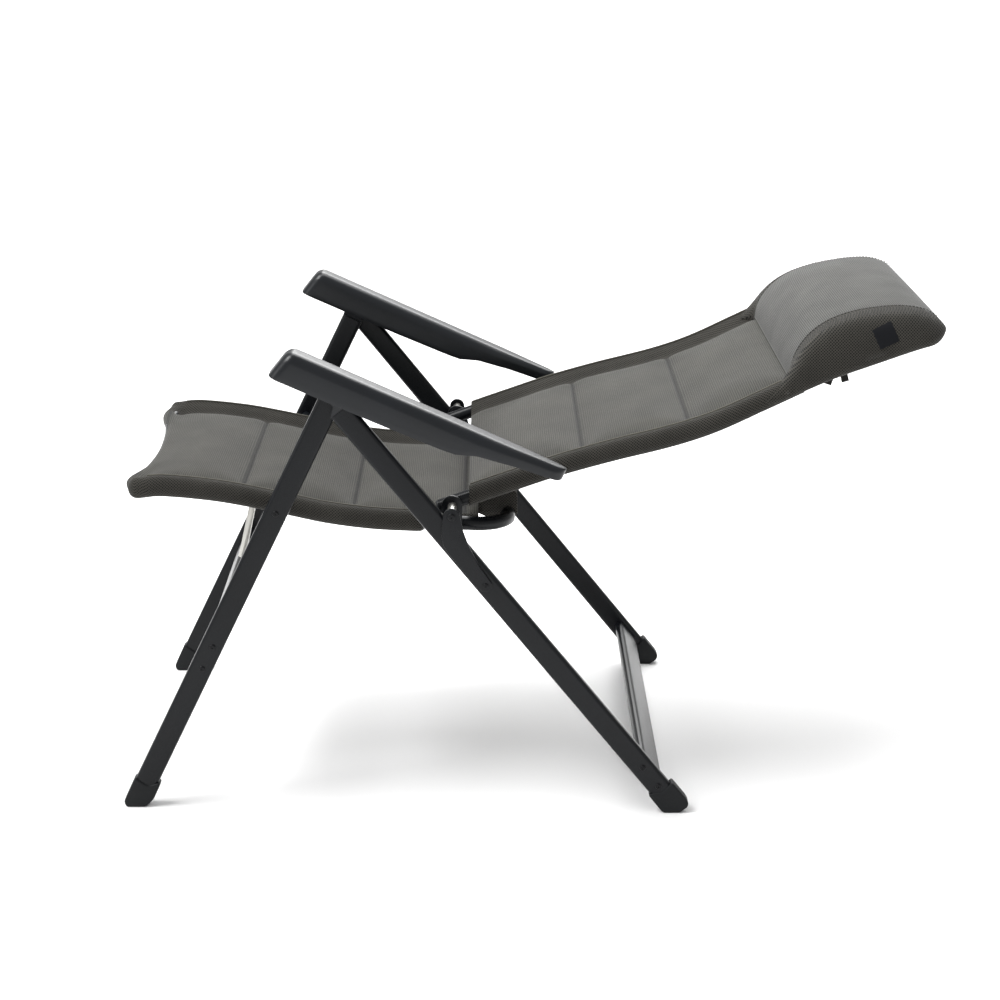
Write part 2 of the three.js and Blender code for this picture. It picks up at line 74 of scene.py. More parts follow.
def linear(hex_value):
    """An sRGB hex colour as linear red, green, blue and alpha."""
    out = []
    for i in (1, 3, 5):
        c = int(hex_value[i:i + 2], 16) / 255
        out.append(c / 12.92 if c <= 0.04045 else ((c + 0.055) / 1.055) ** 2.4)
    return (*out, 1.0)


def length_prop(name, description, default):
    return bpy.props.FloatProperty(
        name=name, description=description, default=default, unit="LENGTH", precision=4, min=0.0002)


def colour_prop(name, description, hex_value):
    return bpy.props.FloatVectorProperty(
        name=name, description=description, default=linear(hex_value), size=4, subtype="COLOR", min=0, max=1)


class ChairSizes(bpy.types.PropertyGroup):
    """Sizes of the tubes, covers and details."""

    rail_radius: length_prop("Rail radius", "Radius of the round seat and back rails", 0.0105)
    sleeve_radius: length_prop("Sleeve radius", "Radius of the cloth sleeve round a rail", 0.0138)
    leg_width: length_prop("Leg width", "Leg section seen from the side", 0.0336)
    leg_depth: length_prop("Leg depth", "Leg section seen from the front", 0.017)
    corner_radius: length_prop("Corner radius", "Rounding of the leg section", 0.006)
    cell: length_prop("Cover cell", "Mesh size of the padded covers", 0.0062)
    crown: length_prop("Crown", "Height of the padding between two seams", 0.0125)
    piping_radius: length_prop("Piping radius", "Radius of the cord in the cover's edges", 0.0014)
    stitch_length: length_prop("Stitch length", "Length of one stitch", 0.0036)
    stitch_gap: length_prop("Stitch spacing", "Distance from one stitch to the next", 0.0052)
    rib_pitch: length_prop("Rib pitch", "Distance between the ribs of the centre cloth", 0.0030)
    cell_pitch: length_prop("Hole pitch", "Distance between the holes of the side cloth", 0.0031)
    swell: bpy.props.FloatProperty(
        name="Swell", description="Air pressure that fills the covers", default=4.0, min=0.0, max=12.0)


class ChairColours(bpy.types.PropertyGroup):
    """Colours of the finishes."""

    coat: colour_prop("Powder coat", "Frame tubes, brackets and arms", "#0d0f12")
    moulded: colour_prop("Moulded nylon", "Armrests and end plugs", "#101317")
    foot: colour_prop("Foot caps", "Rubbery plastic of the feet", "#101214")
    zinc: colour_prop("Zinc plate", "Spacers and the thin stay", "#a9a8a3")
    black_bolt: colour_prop("Black bolts", "Screws, washers and rivets", "#111214")
    rib_light: colour_prop("Rib crest", "Raised threads of the centre cloth", "#41403a")
    rib_dark: colour_prop("Rib valley", "Ground of the centre cloth", "#181715")
    web_light: colour_prop("Mesh thread", "Threads of the side cloth", "#3a3833")
    web_dark: colour_prop("Mesh hole", "Holes of the side cloth", "#0b0b0a")
    # Lighter than the seat's rib crest: painted sheen on the head cushion's top.
    crest_head_sheen: colour_prop("Head rib crest", "Raised threads of the head cushion", "#52524f")
    piping: colour_prop("Piping", "Corded edges", "#5a5851")
    thread: colour_prop("Thread", "Stitching", "#201f1d")
    tab: colour_prop("Tab", "Woven tab on the head cushion", "#080a10")
    floor: colour_prop("Floor", "Studio floor and backdrop", "#f9f9f9")


# ---------------------------------------------------------------- materials


def add_node(tree, kind, inputs=None, **settings):
    """One node with its settings, its values and its incoming links."""
    n = tree.nodes.new(kind)
    for key, value in settings.items():
        setattr(n, key, value)
    for key, value in (inputs or {}).items():
        if isinstance(value, bpy.types.NodeSocket):
            tree.links.new(value, n.inputs[key])
        else:
            n.inputs[key].default_value = value
    return n


def maths(tree, operation, a, b=0.0, c=0.0):
    return add_node(tree, "ShaderNodeMath", {0: a, 1: b, 2: c}, operation=operation).outputs[0]


def start_material(name):
    """A new material with an empty shader: (material, tree, shader)."""
    material = bpy.data.materials.new(name)
    material.use_nodes = True
    tree = material.node_tree
    tree.nodes.clear()
    shader = add_node(tree, "ShaderNodeBsdfPrincipled")
    add_node(tree, "ShaderNodeOutputMaterial", {"Surface": shader.outputs[0]})
    return material, tree, shader


def ramp(tree, factor, stops, interpolation="LINEAR"):
    n = add_node(tree, "ShaderNodeValToRGB", {"Fac": factor})
    n.color_ramp.interpolation = interpolation
    points = n.color_ramp.elements
    while len(points) < len(stops):
        points.new(0.5)
    for point, (place, colour) in zip(points, stops):
        point.position = place
        point.color = colour
    return n.outputs["Color"]


def shade(colour, by):
    return (*(min(1.0, c * by) for c in colour[:3]), 1.0)


def grainy(name, colour, roughness, grain, bump, metallic=0.0, mottle=9.0, gloss_level=0.22):
    """A hard finish: slow tone changes, fine grain in the bump and slightly uneven gloss.
    grain is the size of one grain in metres."""
    spread = 0.14  # how far the tone wanders
    material, tree, shader = start_material(name)
    place = add_node(tree, "ShaderNodeTexCoord").outputs["Object"]
    slow = add_node(tree, "ShaderNodeTexNoise", {"Vector": place, "Scale": mottle, "Detail": 3.0})
    fine = add_node(tree, "ShaderNodeTexNoise", {"Vector": place, "Scale": 1 / grain, "Detail": 2.0})
    tone = ramp(tree, slow.outputs["Fac"], [
        (0.3, shade(colour, 1 - spread)), (0.7, shade(colour, 1 + spread))])
    gloss = add_node(tree, "ShaderNodeMapRange", {
        "Value": fine.outputs["Fac"], "To Min": roughness - 0.05, "To Max": roughness + 0.07})
    relief = add_node(tree, "ShaderNodeBump", {
        "Height": fine.outputs["Fac"], "Strength": bump, "Distance": grain * 0.5})
    tree.links.new(tone, shader.inputs["Base Color"])
    tree.links.new(gloss.outputs[0], shader.inputs["Roughness"])
    tree.links.new(relief.outputs[0], shader.inputs["Normal"])
    shader.inputs["Metallic"].default_value = metallic
    if not metallic:
        shader.inputs["Specular IOR Level"].default_value = gloss_level
    return material


def cloth_base(name, roughness, sheen):
    material, tree, shader = start_material(name)
    shader.inputs["Roughness"].default_value = roughness
    shader.inputs["Sheen Weight"].default_value = sheen
    shader.inputs["Sheen Roughness"].default_value = 0.5
    shader.inputs["Specular IOR Level"].default_value = 0.25
    weave = add_node(tree, "ShaderNodeUVMap", uv_map="Weave").outputs[0]
    return material, tree, shader, weave


def ribbed_cloth(name, light, dark, pitch):
    """Knitted spacer cloth with fine ribs across the chair: the ribs give the panels their faint stripes."""
    material, tree, shader, weave = cloth_base(name, 0.88, 0.12)
    axes = add_node(tree, "ShaderNodeSeparateXYZ", {0: weave})
    along = maths(tree, "MULTIPLY", axes.outputs[0], 2 * math.pi / pitch)
    across = maths(tree, "MULTIPLY", axes.outputs[1], 2 * math.pi / (pitch * 0.55))
    wander = add_node(tree, "ShaderNodeTexNoise", {"Vector": weave, "Scale": 60.0, "Detail": 2.0})
    along = maths(tree, "ADD", along, maths(tree, "MULTIPLY", wander.outputs["Fac"], 1.4))
    rib = maths(tree, "MULTIPLY_ADD", maths(tree, "SINE", along), 0.5, 0.5)
    knot = maths(tree, "MULTIPLY_ADD", maths(tree, "SINE", across), 0.5, 0.5)
    height = maths(tree, "ADD", maths(tree, "MULTIPLY", rib, 0.75), maths(tree, "MULTIPLY", knot, 0.25))
    patch = add_node(tree, "ShaderNodeTexNoise", {"Vector": weave, "Scale": 14.0, "Detail": 4.0})
    patchy = maths(tree, "MULTIPLY", patch.outputs["Fac"], 0.4)
    shown = maths(tree, "ADD", maths(tree, "MULTIPLY", height, 0.6), patchy)
    tone = ramp(tree, shown, [(0.25, dark), (0.75, light)])
    # Painted shade: the cloth is darkened along the cross seams and the side strips' edges, where the folded
    # cloth lies in shade.
    crease_shade_mask = add_node(tree, "ShaderNodeAttribute", attribute_name="crease").outputs["Fac"]
    crease_shaded = add_node(tree, "ShaderNodeMix", {"Factor": crease_shade_mask, 6: tone, 7: shade(dark, 0.3)}, data_type="RGBA")
    relief = add_node(tree, "ShaderNodeBump", {"Height": height, "Strength": 0.5, "Distance": 0.0005})
    tree.links.new(crease_shaded.outputs[2], shader.inputs["Base Color"])
    tree.links.new(relief.outputs[0], shader.inputs["Normal"])
    return material


def mesh_cloth(name, light, dark, pitch):
    """Open spacer mesh: a diamond grid of dark holes between lighter threads, seen as a fine honeycomb."""
    material, tree, shader, weave = cloth_base(name, 0.9, 0.06)
    turned = add_node(tree, "ShaderNodeMapping", {"Vector": weave, "Rotation": (0, 0, math.radians(45))})
    dots = add_node(tree, "ShaderNodeTexVoronoi", {
        "Vector": turned.outputs[0], "Scale": 1 / pitch, "Randomness": 0.0}, voronoi_dimensions="2D")
    hole = ramp(tree, dots.outputs["Distance"], [(0.28, (0, 0, 0, 1)), (0.46, (1, 1, 1, 1))])
    patch = add_node(tree, "ShaderNodeTexNoise", {"Vector": weave, "Scale": 18.0, "Detail": 3.0})
    thread = ramp(tree, patch.outputs["Fac"], [(0.3, shade(light, 0.85)), (0.7, shade(light, 1.12))])
    tone = add_node(tree, "ShaderNodeMix", {"Factor": hole, 6: dark, 7: thread}, data_type="RGBA")
    relief = add_node(tree, "ShaderNodeBump", {"Height": hole, "Strength": 0.6, "Distance": 0.0008})
    tree.links.new(tone.outputs[2], shader.inputs["Base Color"])
    tree.links.new(relief.outputs[0], shader.inputs["Normal"])
    return material


def woven_tape(name, colour, pitch):
    """Plain woven tape or piping: tiny over-and-under threads that only break up the gloss."""
    material, tree, shader = start_material(name)
    place = add_node(tree, "ShaderNodeTexCoord").outputs["Object"]
    warp = add_node(tree, "ShaderNodeTexWave", {"Vector": place, "Scale": 1 / pitch / 6}, bands_direction="X")
    weft = add_node(tree, "ShaderNodeTexWave", {"Vector": place, "Scale": 1 / pitch / 6}, bands_direction="Z")
    height = maths(tree, "MULTIPLY", warp.outputs["Fac"], weft.outputs["Fac"])
    tone = ramp(tree, height, [(0.0, shade(colour, 0.7)), (0.9, shade(colour, 1.2))])
    relief = add_node(tree, "ShaderNodeBump", {"Height": height, "Strength": 0.4, "Distance": 0.0003})
    tree.links.new(tone, shader.inputs["Base Color"])
    tree.links.new(relief.outputs[0], shader.inputs["Normal"])
    shader.inputs["Roughness"].default_value = 0.8
    shader.inputs["Sheen Weight"].default_value = 0.05
    shader.inputs["Specular IOR Level"].default_value = 0.2
    return material


FINISHES = {}


def make_finishes():
    c = bpy.context.scene.chair_colours
    s = bpy.context.scene.chair_sizes
    FINISHES.update({
        # Satin powder coat over steel tube: a fine orange peel and soft bright lines on the rounded edges.
        "coat": grainy("powder_coated_steel", c.coat, 0.28, 0.0009, 0.08),
        # Glass-filled nylon, moulded with a fine spark texture: a broad dull sheen.
        "moulded": grainy("moulded_nylon", c.moulded, 0.30, 0.0007, 0.14, mottle=14.0, gloss_level=0.35),
        # Softer thermoplastic elastomer: darker and duller than the armrests.
        "foot": grainy("foot_elastomer", c.foot, 0.5, 0.0008, 0.2),
        "zinc": grainy("zinc_plated_steel", c.zinc, 0.3, 0.0006, 0.05, metallic=1.0),
        "black_bolt": grainy("black_oxide_steel", c.black_bolt, 0.32, 0.0005, 0.05, metallic=0.6),
        "ribbed": ribbed_cloth("ribbed_spacer_cloth", c.rib_light, c.rib_dark, s.rib_pitch),
        # A lit copy of the ribbed cloth: its lighter crests are painted sheen.
        "head": ribbed_cloth("ribbed_head_cloth", c.crest_head_sheen, c.rib_dark, s.rib_pitch),
        "mesh": mesh_cloth("open_spacer_mesh", c.web_light, c.web_dark, s.cell_pitch),
        "piping": woven_tape("piping_tape", c.piping, 0.0009),
        "thread": woven_tape("sewing_thread", c.thread, 0.0007),
        "tab": woven_tape("woven_tab", c.tab, 0.0011),
    })


# ---------------------------------------------------------------- mesh helpers


def link_mesh(name, mesh):
    """A new object in the scene that holds the mesh."""
    obj = bpy.data.objects.new(name, mesh)
    bpy.context.scene.collection.objects.link(obj)
    return obj


def mesh_from(name, verts, faces, edges=()):
    mesh = bpy.data.meshes.new(name)
    mesh.from_pydata([tuple(v) for v in verts], list(edges), faces)
    return mesh


def grid_faces(rows, n, closed=True):
    """Quads between rows of n points. closed joins the last point of a row to its first."""
    return [(i * n + j, i * n + (j + 1) % n, (i + 1) * n + (j + 1) % n, (i + 1) * n + j)
            for i in range(rows - 1) for j in range(n if closed else n - 1)]


def new_piece(name, verts, faces, finish, smooth=35.0):
    """A mesh object with its place in its vertices. smooth is the angle up to which edges look round."""
    mesh = mesh_from(name, verts, faces)
    mesh.validate()
    obj = link_mesh(name, mesh)
    if finish:
        mesh.materials.append(FINISHES[finish])
    turn_out(obj)
    soften(obj, smooth)
    return obj


def turn_out(obj, merge=1e-6):
    bm = bmesh.new()
    bm.from_mesh(obj.data)
    bmesh.ops.remove_doubles(bm, verts=bm.verts, dist=merge)
    bmesh.ops.recalc_face_normals(bm, faces=bm.faces)
    bm.to_mesh(obj.data)
    bm.free()


def soften(obj, angle):
    """Smooth shading with edges sharper than angle, in degrees, kept crisp."""
    bm = bmesh.new()
    bm.from_mesh(obj.data)
    for e in bm.edges:
        e.smooth = len(e.link_faces) == 2 and e.calc_face_angle(0) < math.radians(angle)
    for f in bm.faces:
        f.smooth = True
    bm.to_mesh(obj.data)
    bm.free()


def apply_modifiers(obj):
    """The object's modifiers made part of its mesh."""
    dg = bpy.context.evaluated_depsgraph_get()
    mesh = bpy.data.meshes.new_from_object(obj.evaluated_get(dg), preserve_all_data_layers=True, depsgraph=dg)
    obj.modifiers.clear()
    old, obj.data = obj.data, mesh
    mesh.name = obj.name
    bpy.data.meshes.remove(old)


def bevel(obj, width, segments=3, angle=30.0):
    m = obj.modifiers.new("round_edges", "BEVEL")
    m.width = width
    m.segments = segments
    m.limit_method = "ANGLE"
    m.angle_limit = math.radians(angle)
    m.harden_normals = False
    apply_modifiers(obj)
    soften(obj, angle)


def join(name, objs):
    """Several pieces of one finish as one mesh object."""
    bm = bmesh.new()
    for o in objs:
        bm.from_mesh(o.data)
    mesh = bpy.data.meshes.new(name)
    bm.to_mesh(mesh)
    bm.free()
    for m in objs[0].data.materials:
        mesh.materials.append(m)
    for o in objs:
        bpy.data.objects.remove(o)
    return link_mesh(name, mesh)


def rounded_box(w, h, r, steps=6):
    """A rounded rectangle as (a, b) points, anticlockwise."""
    out = []
    for cx, cy, start in ((w / 2 - r, h / 2 - r, 0), (r - w / 2, h / 2 - r, 90),
                          (r - w / 2, r - h / 2, 180), (w / 2 - r, r - h / 2, 270)):
        for k in range(steps + 1):
            t = math.radians(start + 90 * k / steps)
            out.append((cx + r * math.cos(t), cy + r * math.sin(t)))
    return out


def round_section(r, sides=24):
    turns = [2 * math.pi * k / sides for k in range(sides)]
    return [(r * math.cos(t), r * math.sin(t)) for t in turns]


def curve_through(points, step):
    """Even points on a smooth curve through the given ones."""
    p = [Vector(q) for q in points]
    p = [p[0] * 2 - p[1], *p, p[-1] * 2 - p[-2]]
    fine = []
    for i in range(1, len(p) - 2):
        a, b, c, d = p[i - 1:i + 3]
        for k in range(16):
            t = k / 16
            fine.append(0.5 * ((2 * b) + (c - a) * t + (2 * a - 5 * b + 4 * c - d) * t * t
                               + (3 * b - a - 3 * c + d) * t ** 3))
    fine.append(p[-2])
    gaps = np.array([(b - a).length for a, b in zip(fine, fine[1:])])
    run = np.concatenate([[0], np.cumsum(gaps)])
    n = max(2, round(run[-1] / step))
    xyz = np.array([tuple(v) for v in fine])
    return [Vector([float(np.interp(s, run, xyz[:, k])) for k in range(3)])
            for s in np.linspace(0, run[-1], n + 1)]


def sweep(name, path, section, finish, normal=None, scale=None):
    """A section carried along a path, with closed ends. normal fixes the section's first axis."""
    n, m = len(path), len(section)
    verts = []
    side = None
    for i, p in enumerate(path):
        d = (path[min(i + 1, n - 1)] - path[max(i - 1, 0)]).normalized()
        if normal is not None:
            side = (Vector(normal) - d * d.dot(Vector(normal))).normalized()
        elif side is None:
            side = d.orthogonal().normalized()
        else:
            side = (side - d * d.dot(side)).normalized()
        up = d.cross(side)
        k = scale[i] if scale else 1.0
        verts += [p + side * (a * k) + up * (b * k) for a, b in section]
    faces = grid_faces(n, m) + [tuple(range(m))[::-1], tuple((n - 1) * m + j for j in range(m))]
    return new_piece(name, verts, faces, finish)


def plate(name, outline, y0, y1, finish, round_by=0.0, segments=3):
    """A side-view outline in millimetres, given thickness along Y."""
    m = len(outline)
    verts = [at(x, y, z) for y in (y0, y1) for x, z in outline]
    faces = [tuple(range(m)), tuple(range(m, 2 * m))[::-1]]
    faces += [(j, (j + 1) % m, m + (j + 1) % m, m + j) for j in range(m)]
    obj = new_piece(name, verts, faces, finish, 30)
    if round_by:
        bevel(obj, round_by, segments)
    return obj


def arc(cx, cz, r, start, end, steps):
    return [(cx + r * math.cos(math.radians(start + (end - start) * k / steps)),
             cz + r * math.sin(math.radians(start + (end - start) * k / steps))) for k in range(steps + 1)]


def rounded(points, steps=6):
    """An outline with rounded corners: each point is (x, z, radius)."""
    out = []
    n = len(points)
    for i, (x, z, r) in enumerate(points):
        here = Vector((x, z))
        if not r:
            out.append((x, z))
            continue
        a = (Vector(points[i - 1][:2]) - here).normalized()
        b = (Vector(points[(i + 1) % n][:2]) - here).normalized()
        half = math.acos(max(-1, min(1, a.dot(b)))) / 2
        centre = here + (a + b).normalized() * (r / math.sin(half))
        start = here + a * (r / math.tan(half)) - centre
        end = here + b * (r / math.tan(half)) - centre
        turn = math.atan2(start.x * end.y - start.y * end.x, start.dot(end))
        for k in range(steps + 1):
            c, s = math.cos(turn * k / steps), math.sin(turn * k / steps)
            out.append((centre.x + c * start.x - s * start.y, centre.y + s * start.x + c * start.y))
    return out


def place_piece(obj, body, slot, *nodes):
    """Ties a finished piece to its CAD body and hides the CAD nodes that it stands for. slot is not used."""
    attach(obj, body)
    if nodes:
        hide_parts(*nodes)
    return obj


# ---------------------------------------------------------------- repeated details by geometry nodes


def scatter(name, carrier, proto, finish, spacing=None, along=False):
    """Copies of proto on the carrier's points, by a node group: on each point along its normal,
    or evenly spaced along the carrier's edges. The result is one plain mesh."""
    tree = bpy.data.node_groups.new(name + "_nodes", "GeometryNodeTree")
    tree.is_modifier = True
    tree.interface.new_socket("Geometry", in_out="INPUT", socket_type="NodeSocketGeometry")
    gap = tree.interface.new_socket("Spacing", in_out="INPUT", socket_type="NodeSocketFloat")
    shape = tree.interface.new_socket("Copy", in_out="INPUT", socket_type="NodeSocketObject")
    tree.interface.new_socket("Geometry", in_out="OUTPUT", socket_type="NodeSocketGeometry")
    start = add_node(tree, "NodeGroupInput")
    points = start.outputs["Geometry"]
    if along:
        curve = add_node(tree, "GeometryNodeMeshToCurve", {"Mesh": points})
        points = add_node(tree, "GeometryNodeResampleCurve", {
            "Curve": curve.outputs[0], "Length": start.outputs["Spacing"]}, mode="LENGTH").outputs[0]
        aim = add_node(tree, "GeometryNodeInputTangent").outputs[0]
    else:
        aim = add_node(
            tree, "GeometryNodeInputNamedAttribute", {"Name": "aim"}, data_type="FLOAT_VECTOR").outputs[0]
    turn = add_node(tree, "FunctionNodeAlignRotationToVector", {"Vector": aim}, axis="X" if along else "Z")
    item = add_node(tree, "GeometryNodeObjectInfo", {"Object": start.outputs["Copy"]})
    copies = add_node(tree, "GeometryNodeInstanceOnPoints", {
        "Points": points, "Instance": item.outputs["Geometry"], "Rotation": turn.outputs[0]})
    real = add_node(tree, "GeometryNodeRealizeInstances", {0: copies.outputs[0]})
    made = add_node(tree, "GeometryNodeSetMaterial", {
        "Geometry": real.outputs[0], "Material": FINISHES[finish]})
    add_node(tree, "NodeGroupOutput", {0: made.outputs[0]})
    modifier = carrier.modifiers.new(name, "NODES")
    modifier.node_group = tree
    modifier[gap.identifier] = float(spacing or 0.01)
    modifier[shape.identifier] = proto
    apply_modifiers(carrier)
    carrier.name = name
    if not carrier.data.materials:
        carrier.data.materials.append(FINISHES[finish])
    bpy.data.objects.remove(proto)
    soften(carrier, 40)
    return carrier


def line_carrier(lines):
    """Lines of points as a mesh of edges, for stitches to follow."""
    verts, edges = [], []
    for line in lines:
        first = len(verts)
        verts += [tuple(p) for p in line]
        edges += [(first + i, first + i + 1) for i in range(len(line) - 1)]
    return link_mesh("stitch_lines", mesh_from("stitch_lines", verts, [], edges))


def stitches(name, lines):
    s = bpy.context.scene.chair_sizes
    half, r = s.stitch_length / 2, 0.00055
    places, widths = (-1, -0.7, 0, 0.7, 1), (0.25, 0.85, 1, 0.85, 0.25)
    path = [Vector((half * x, 0, 0)) for x in places]
    proto = sweep("one_stitch", path, round_section(r, 6), "thread", normal=(0, 1, 0), scale=widths)
    return scatter(name, line_carrier(lines), proto, "thread", s.stitch_gap, along=True)


def screws(name, places, finish, radius):
    """Button-head socket screws at (point, direction) places."""
    mesh = mesh_from("screw_places", [p for p, _ in places], [])
    aim = mesh.attributes.new("aim", "FLOAT_VECTOR", "POINT")
    for k, (_, d) in enumerate(places):
        aim.data[k].vector = d
    carrier = link_mesh("screw_places", mesh)
    sides = 24
    # The domed head as (share of the radius, height), then the socket: a six-sided hole with as many points.
    rings = [(1.0, 0.0), (1.0, 0.14), (0.93, 0.3), (0.75, 0.42), (0.5, 0.47)]
    verts = [(x, y, radius * h) for k, h in rings for x, y in round_section(radius * k, sides)]
    for h in (0.47, 0.12):
        for j in range(sides):
            t = 2 * math.pi * j / sides
            r = radius * 0.42 * math.cos(math.pi / 6) / math.cos((t % (math.pi / 3)) - math.pi / 6)
            verts.append((r * math.cos(t), r * math.sin(t), radius * h))
    rows = len(rings) + 2
    faces = grid_faces(rows, sides)
    faces += [tuple((rows - 1) * sides + j for j in range(sides)), tuple(range(sides))[::-1]]
    proto = new_piece("one_screw", verts, faces, finish)
    return scatter(name, carrier, proto, finish)


# ---------------------------------------------------------------- frame lines (millimetres, side view)

APEX = (322, 652)
SEAT_PIVOT = (239.6, 460.8)
HINGE = (494.4, 465.2)
ARM_PIVOT = (543, 361)
FRONT_ON, FRONT_ANGLE = (47.35, 68.45), 63.9
REAR_ON, REAR_ANGLE = (588.1, 306.1), -51.37
LEG_END, FRONT_TOP, REAR_TOP = 13, 627, 620
FRONT_Y, REAR_Y = 281.5, 307.5
FRONT_FACE, REAR_FACE = 290, 316  # the legs' outer faces
FRONT_STRETCH, REAR_STRETCH = (132.3, 238.7), (788, 58)
SCREW_STEP = 19  # from a stretcher's middle to each of its two screws
SEAT_Y, BACK_Y, BEND = 224.5, 247, 62
SEAT_RAIL = [(34, 480), (60, 483), (90, 481.5), (121, 478.4), (160, 473), (213, 462.5), (260, 452),
             (310, 441), (373, 432.4), (430, 429), (480, 427.5), (520, 426)]
SEAT_REAR = (577, 418)
BACK_RAIL = [(477, 459), (494.4, 465.2), (540, 481.5), (590, 499), (650, 519.5), (727, 541.5), (817, 564.5),
             (882, 587), (952, 620), (1035, 659), (1111, 687), (1165, 706)]
BACK_TOP = (1190, 713)


def on_line(on, angle, z):
    return on[0] + (z - on[1]) / math.tan(math.radians(angle)), z


def seat_bar_line():
    """Seat rail from one side to the other round the bowed front bar."""
    x, z = SEAT_RAIL[0]
    half = [(a, SEAT_Y, b) for a, b in SEAT_RAIL[:0:-1]]
    half += [(x + 4, SEAT_Y - 8, z - 1), (x - 8, SEAT_Y - 36, z - 2), (x + 1.8, 100, z - 7.2)]
    return [at(*p) for p in half] + [at(x + 6, 0, z - 9)] + [at(a, -y, b) for a, y, b in half[::-1]]


def rear_loop_line():
    x, z = SEAT_RAIL[-1]
    rx, rz = SEAT_REAR
    half = [(x - 20, SEAT_Y, z + 0.7), (x, SEAT_Y, z)]
    for i in range(1, 7):
        t = i / 6 * math.pi / 2
        half.append((rx - BEND * (1 - math.sin(t)), SEAT_Y - BEND * (1 - math.cos(t)), z + (rz - z) * i / 6))
    half.append((rx, 80, rz))
    return [at(*p) for p in half] + [at(rx, 0, rz)] + [at(a, -y, b) for a, y, b in half[::-1]]


def back_bar_line():
    half = [(x, BACK_Y, z) for x, z in BACK_RAIL]
    x0, z0 = BACK_RAIL[-1]
    tx, tz = BACK_TOP
    for i in range(1, 6):
        t = i / 6 * math.pi / 2
        up = math.sin(t)
        half.append((x0 + (tx - x0) * up, BACK_Y - BEND * (1 - math.cos(t)), z0 + (tz - z0) * up))
    half += [(tx, BACK_Y - BEND, tz), (tx, 90, tz)]
    return [at(*p) for p in half] + [at(tx, 0, tz)] + [at(a, -y, b) for a, y, b in half[::-1]]


LEVELS = {}  # each rail's smooth line, worked out once


def level(rail, x):
    """Height of a rail's smooth line at x."""
    key = id(rail)
    if key not in LEVELS:
        pts = curve_through([(a, 0, b) for a, b in rail], 2.0)
        LEVELS[key] = (np.array([p.x for p in pts]), np.array([p.z for p in pts]))
    return np.interp(x, *LEVELS[key])


# ---------------------------------------------------------------- operators


class CHAIR_OT_stage(bpy.types.Operator):
    """Makes the pale floor, the soft lights and the camera"""

    bl_idname = "chair.stage"
    bl_label = "Stage"

    def execute(self, context):
        # A long lens at standing height, a little over three metres from the chair's side.
        camera = bpy.data.cameras.new("camera")
        camera.sensor_width, camera.lens = 36.0, 78.48
        eye = bpy.data.objects.new("camera", camera)
        pitch, yaw = 0.2948, 0.0061
        eye.location = (-0.0574, -3.30, 1.3955)
        look = Vector((math.sin(yaw) * math.cos(pitch), math.cos(yaw) * math.cos(pitch), -math.sin(pitch)))
        eye.rotation_euler = look.to_track_quat("-Z", "Y").to_euler()
        camera.clip_end = 60
        context.scene.view_settings.view_transform = "Standard"
        context.scene.collection.objects.link(eye)
        context.scene.camera = eye

        reach = 20
        corners = [(-reach, -reach, 0), (reach, -reach, 0), (reach, reach, 0), (-reach, reach, 0)]
        floor = new_piece("floor", corners, [(0, 1, 2, 3)], None)
        material, tree, shader = start_material("studio_floor")
        shader.inputs["Base Color"].default_value = context.scene.chair_colours.floor
        shader.inputs["Roughness"].default_value = 0.9
        floor.data.materials.append(material)

        world = bpy.data.worlds.new("studio")
        world.use_nodes = True
        world.node_tree.nodes["Background"].inputs[0].default_value = (1, 1, 1, 1)
        world.node_tree.nodes["Background"].inputs[1].default_value = 0.6
        context.scene.world = world
        lamps = [("ceiling", "SUN", (-2.4, -0.5, 3.6), (0, 0, 0), math.radians(30), 2.6),
                 ("overhead", "AREA", (0.1, 0.7, 2.6), (0, 0, 0.4), 1.6, 52),
                 ("front_left", "AREA", (-3.0, -1.2, 1.6), (0, 0, 0.4), 1.4, 14),
                 ("behind", "AREA", (0.4, 3.4, 2.7), (0, 0, 0.4), 2.2, 90)]
        for name, kind, where, target, size, power in lamps:
            lamp = bpy.data.lights.new(name, kind)
            lamp.energy = power
            if kind == "SUN":
                lamp.angle = size
            else:
                lamp.size = size
            obj = bpy.data.objects.new(name, lamp)
            obj.location = where
            obj.rotation_euler = (Vector(target) - Vector(where)).to_track_quat("-Z", "Y").to_euler()
            context.scene.collection.objects.link(obj)
        return {"FINISHED"}


class CHAIR_OT_finishes(bpy.types.Operator):
    """Makes every finish"""

    bl_idname = "chair.finishes"
    bl_label = "Finishes"

    def execute(self, context):
        make_finishes()
        return {"FINISHED"}


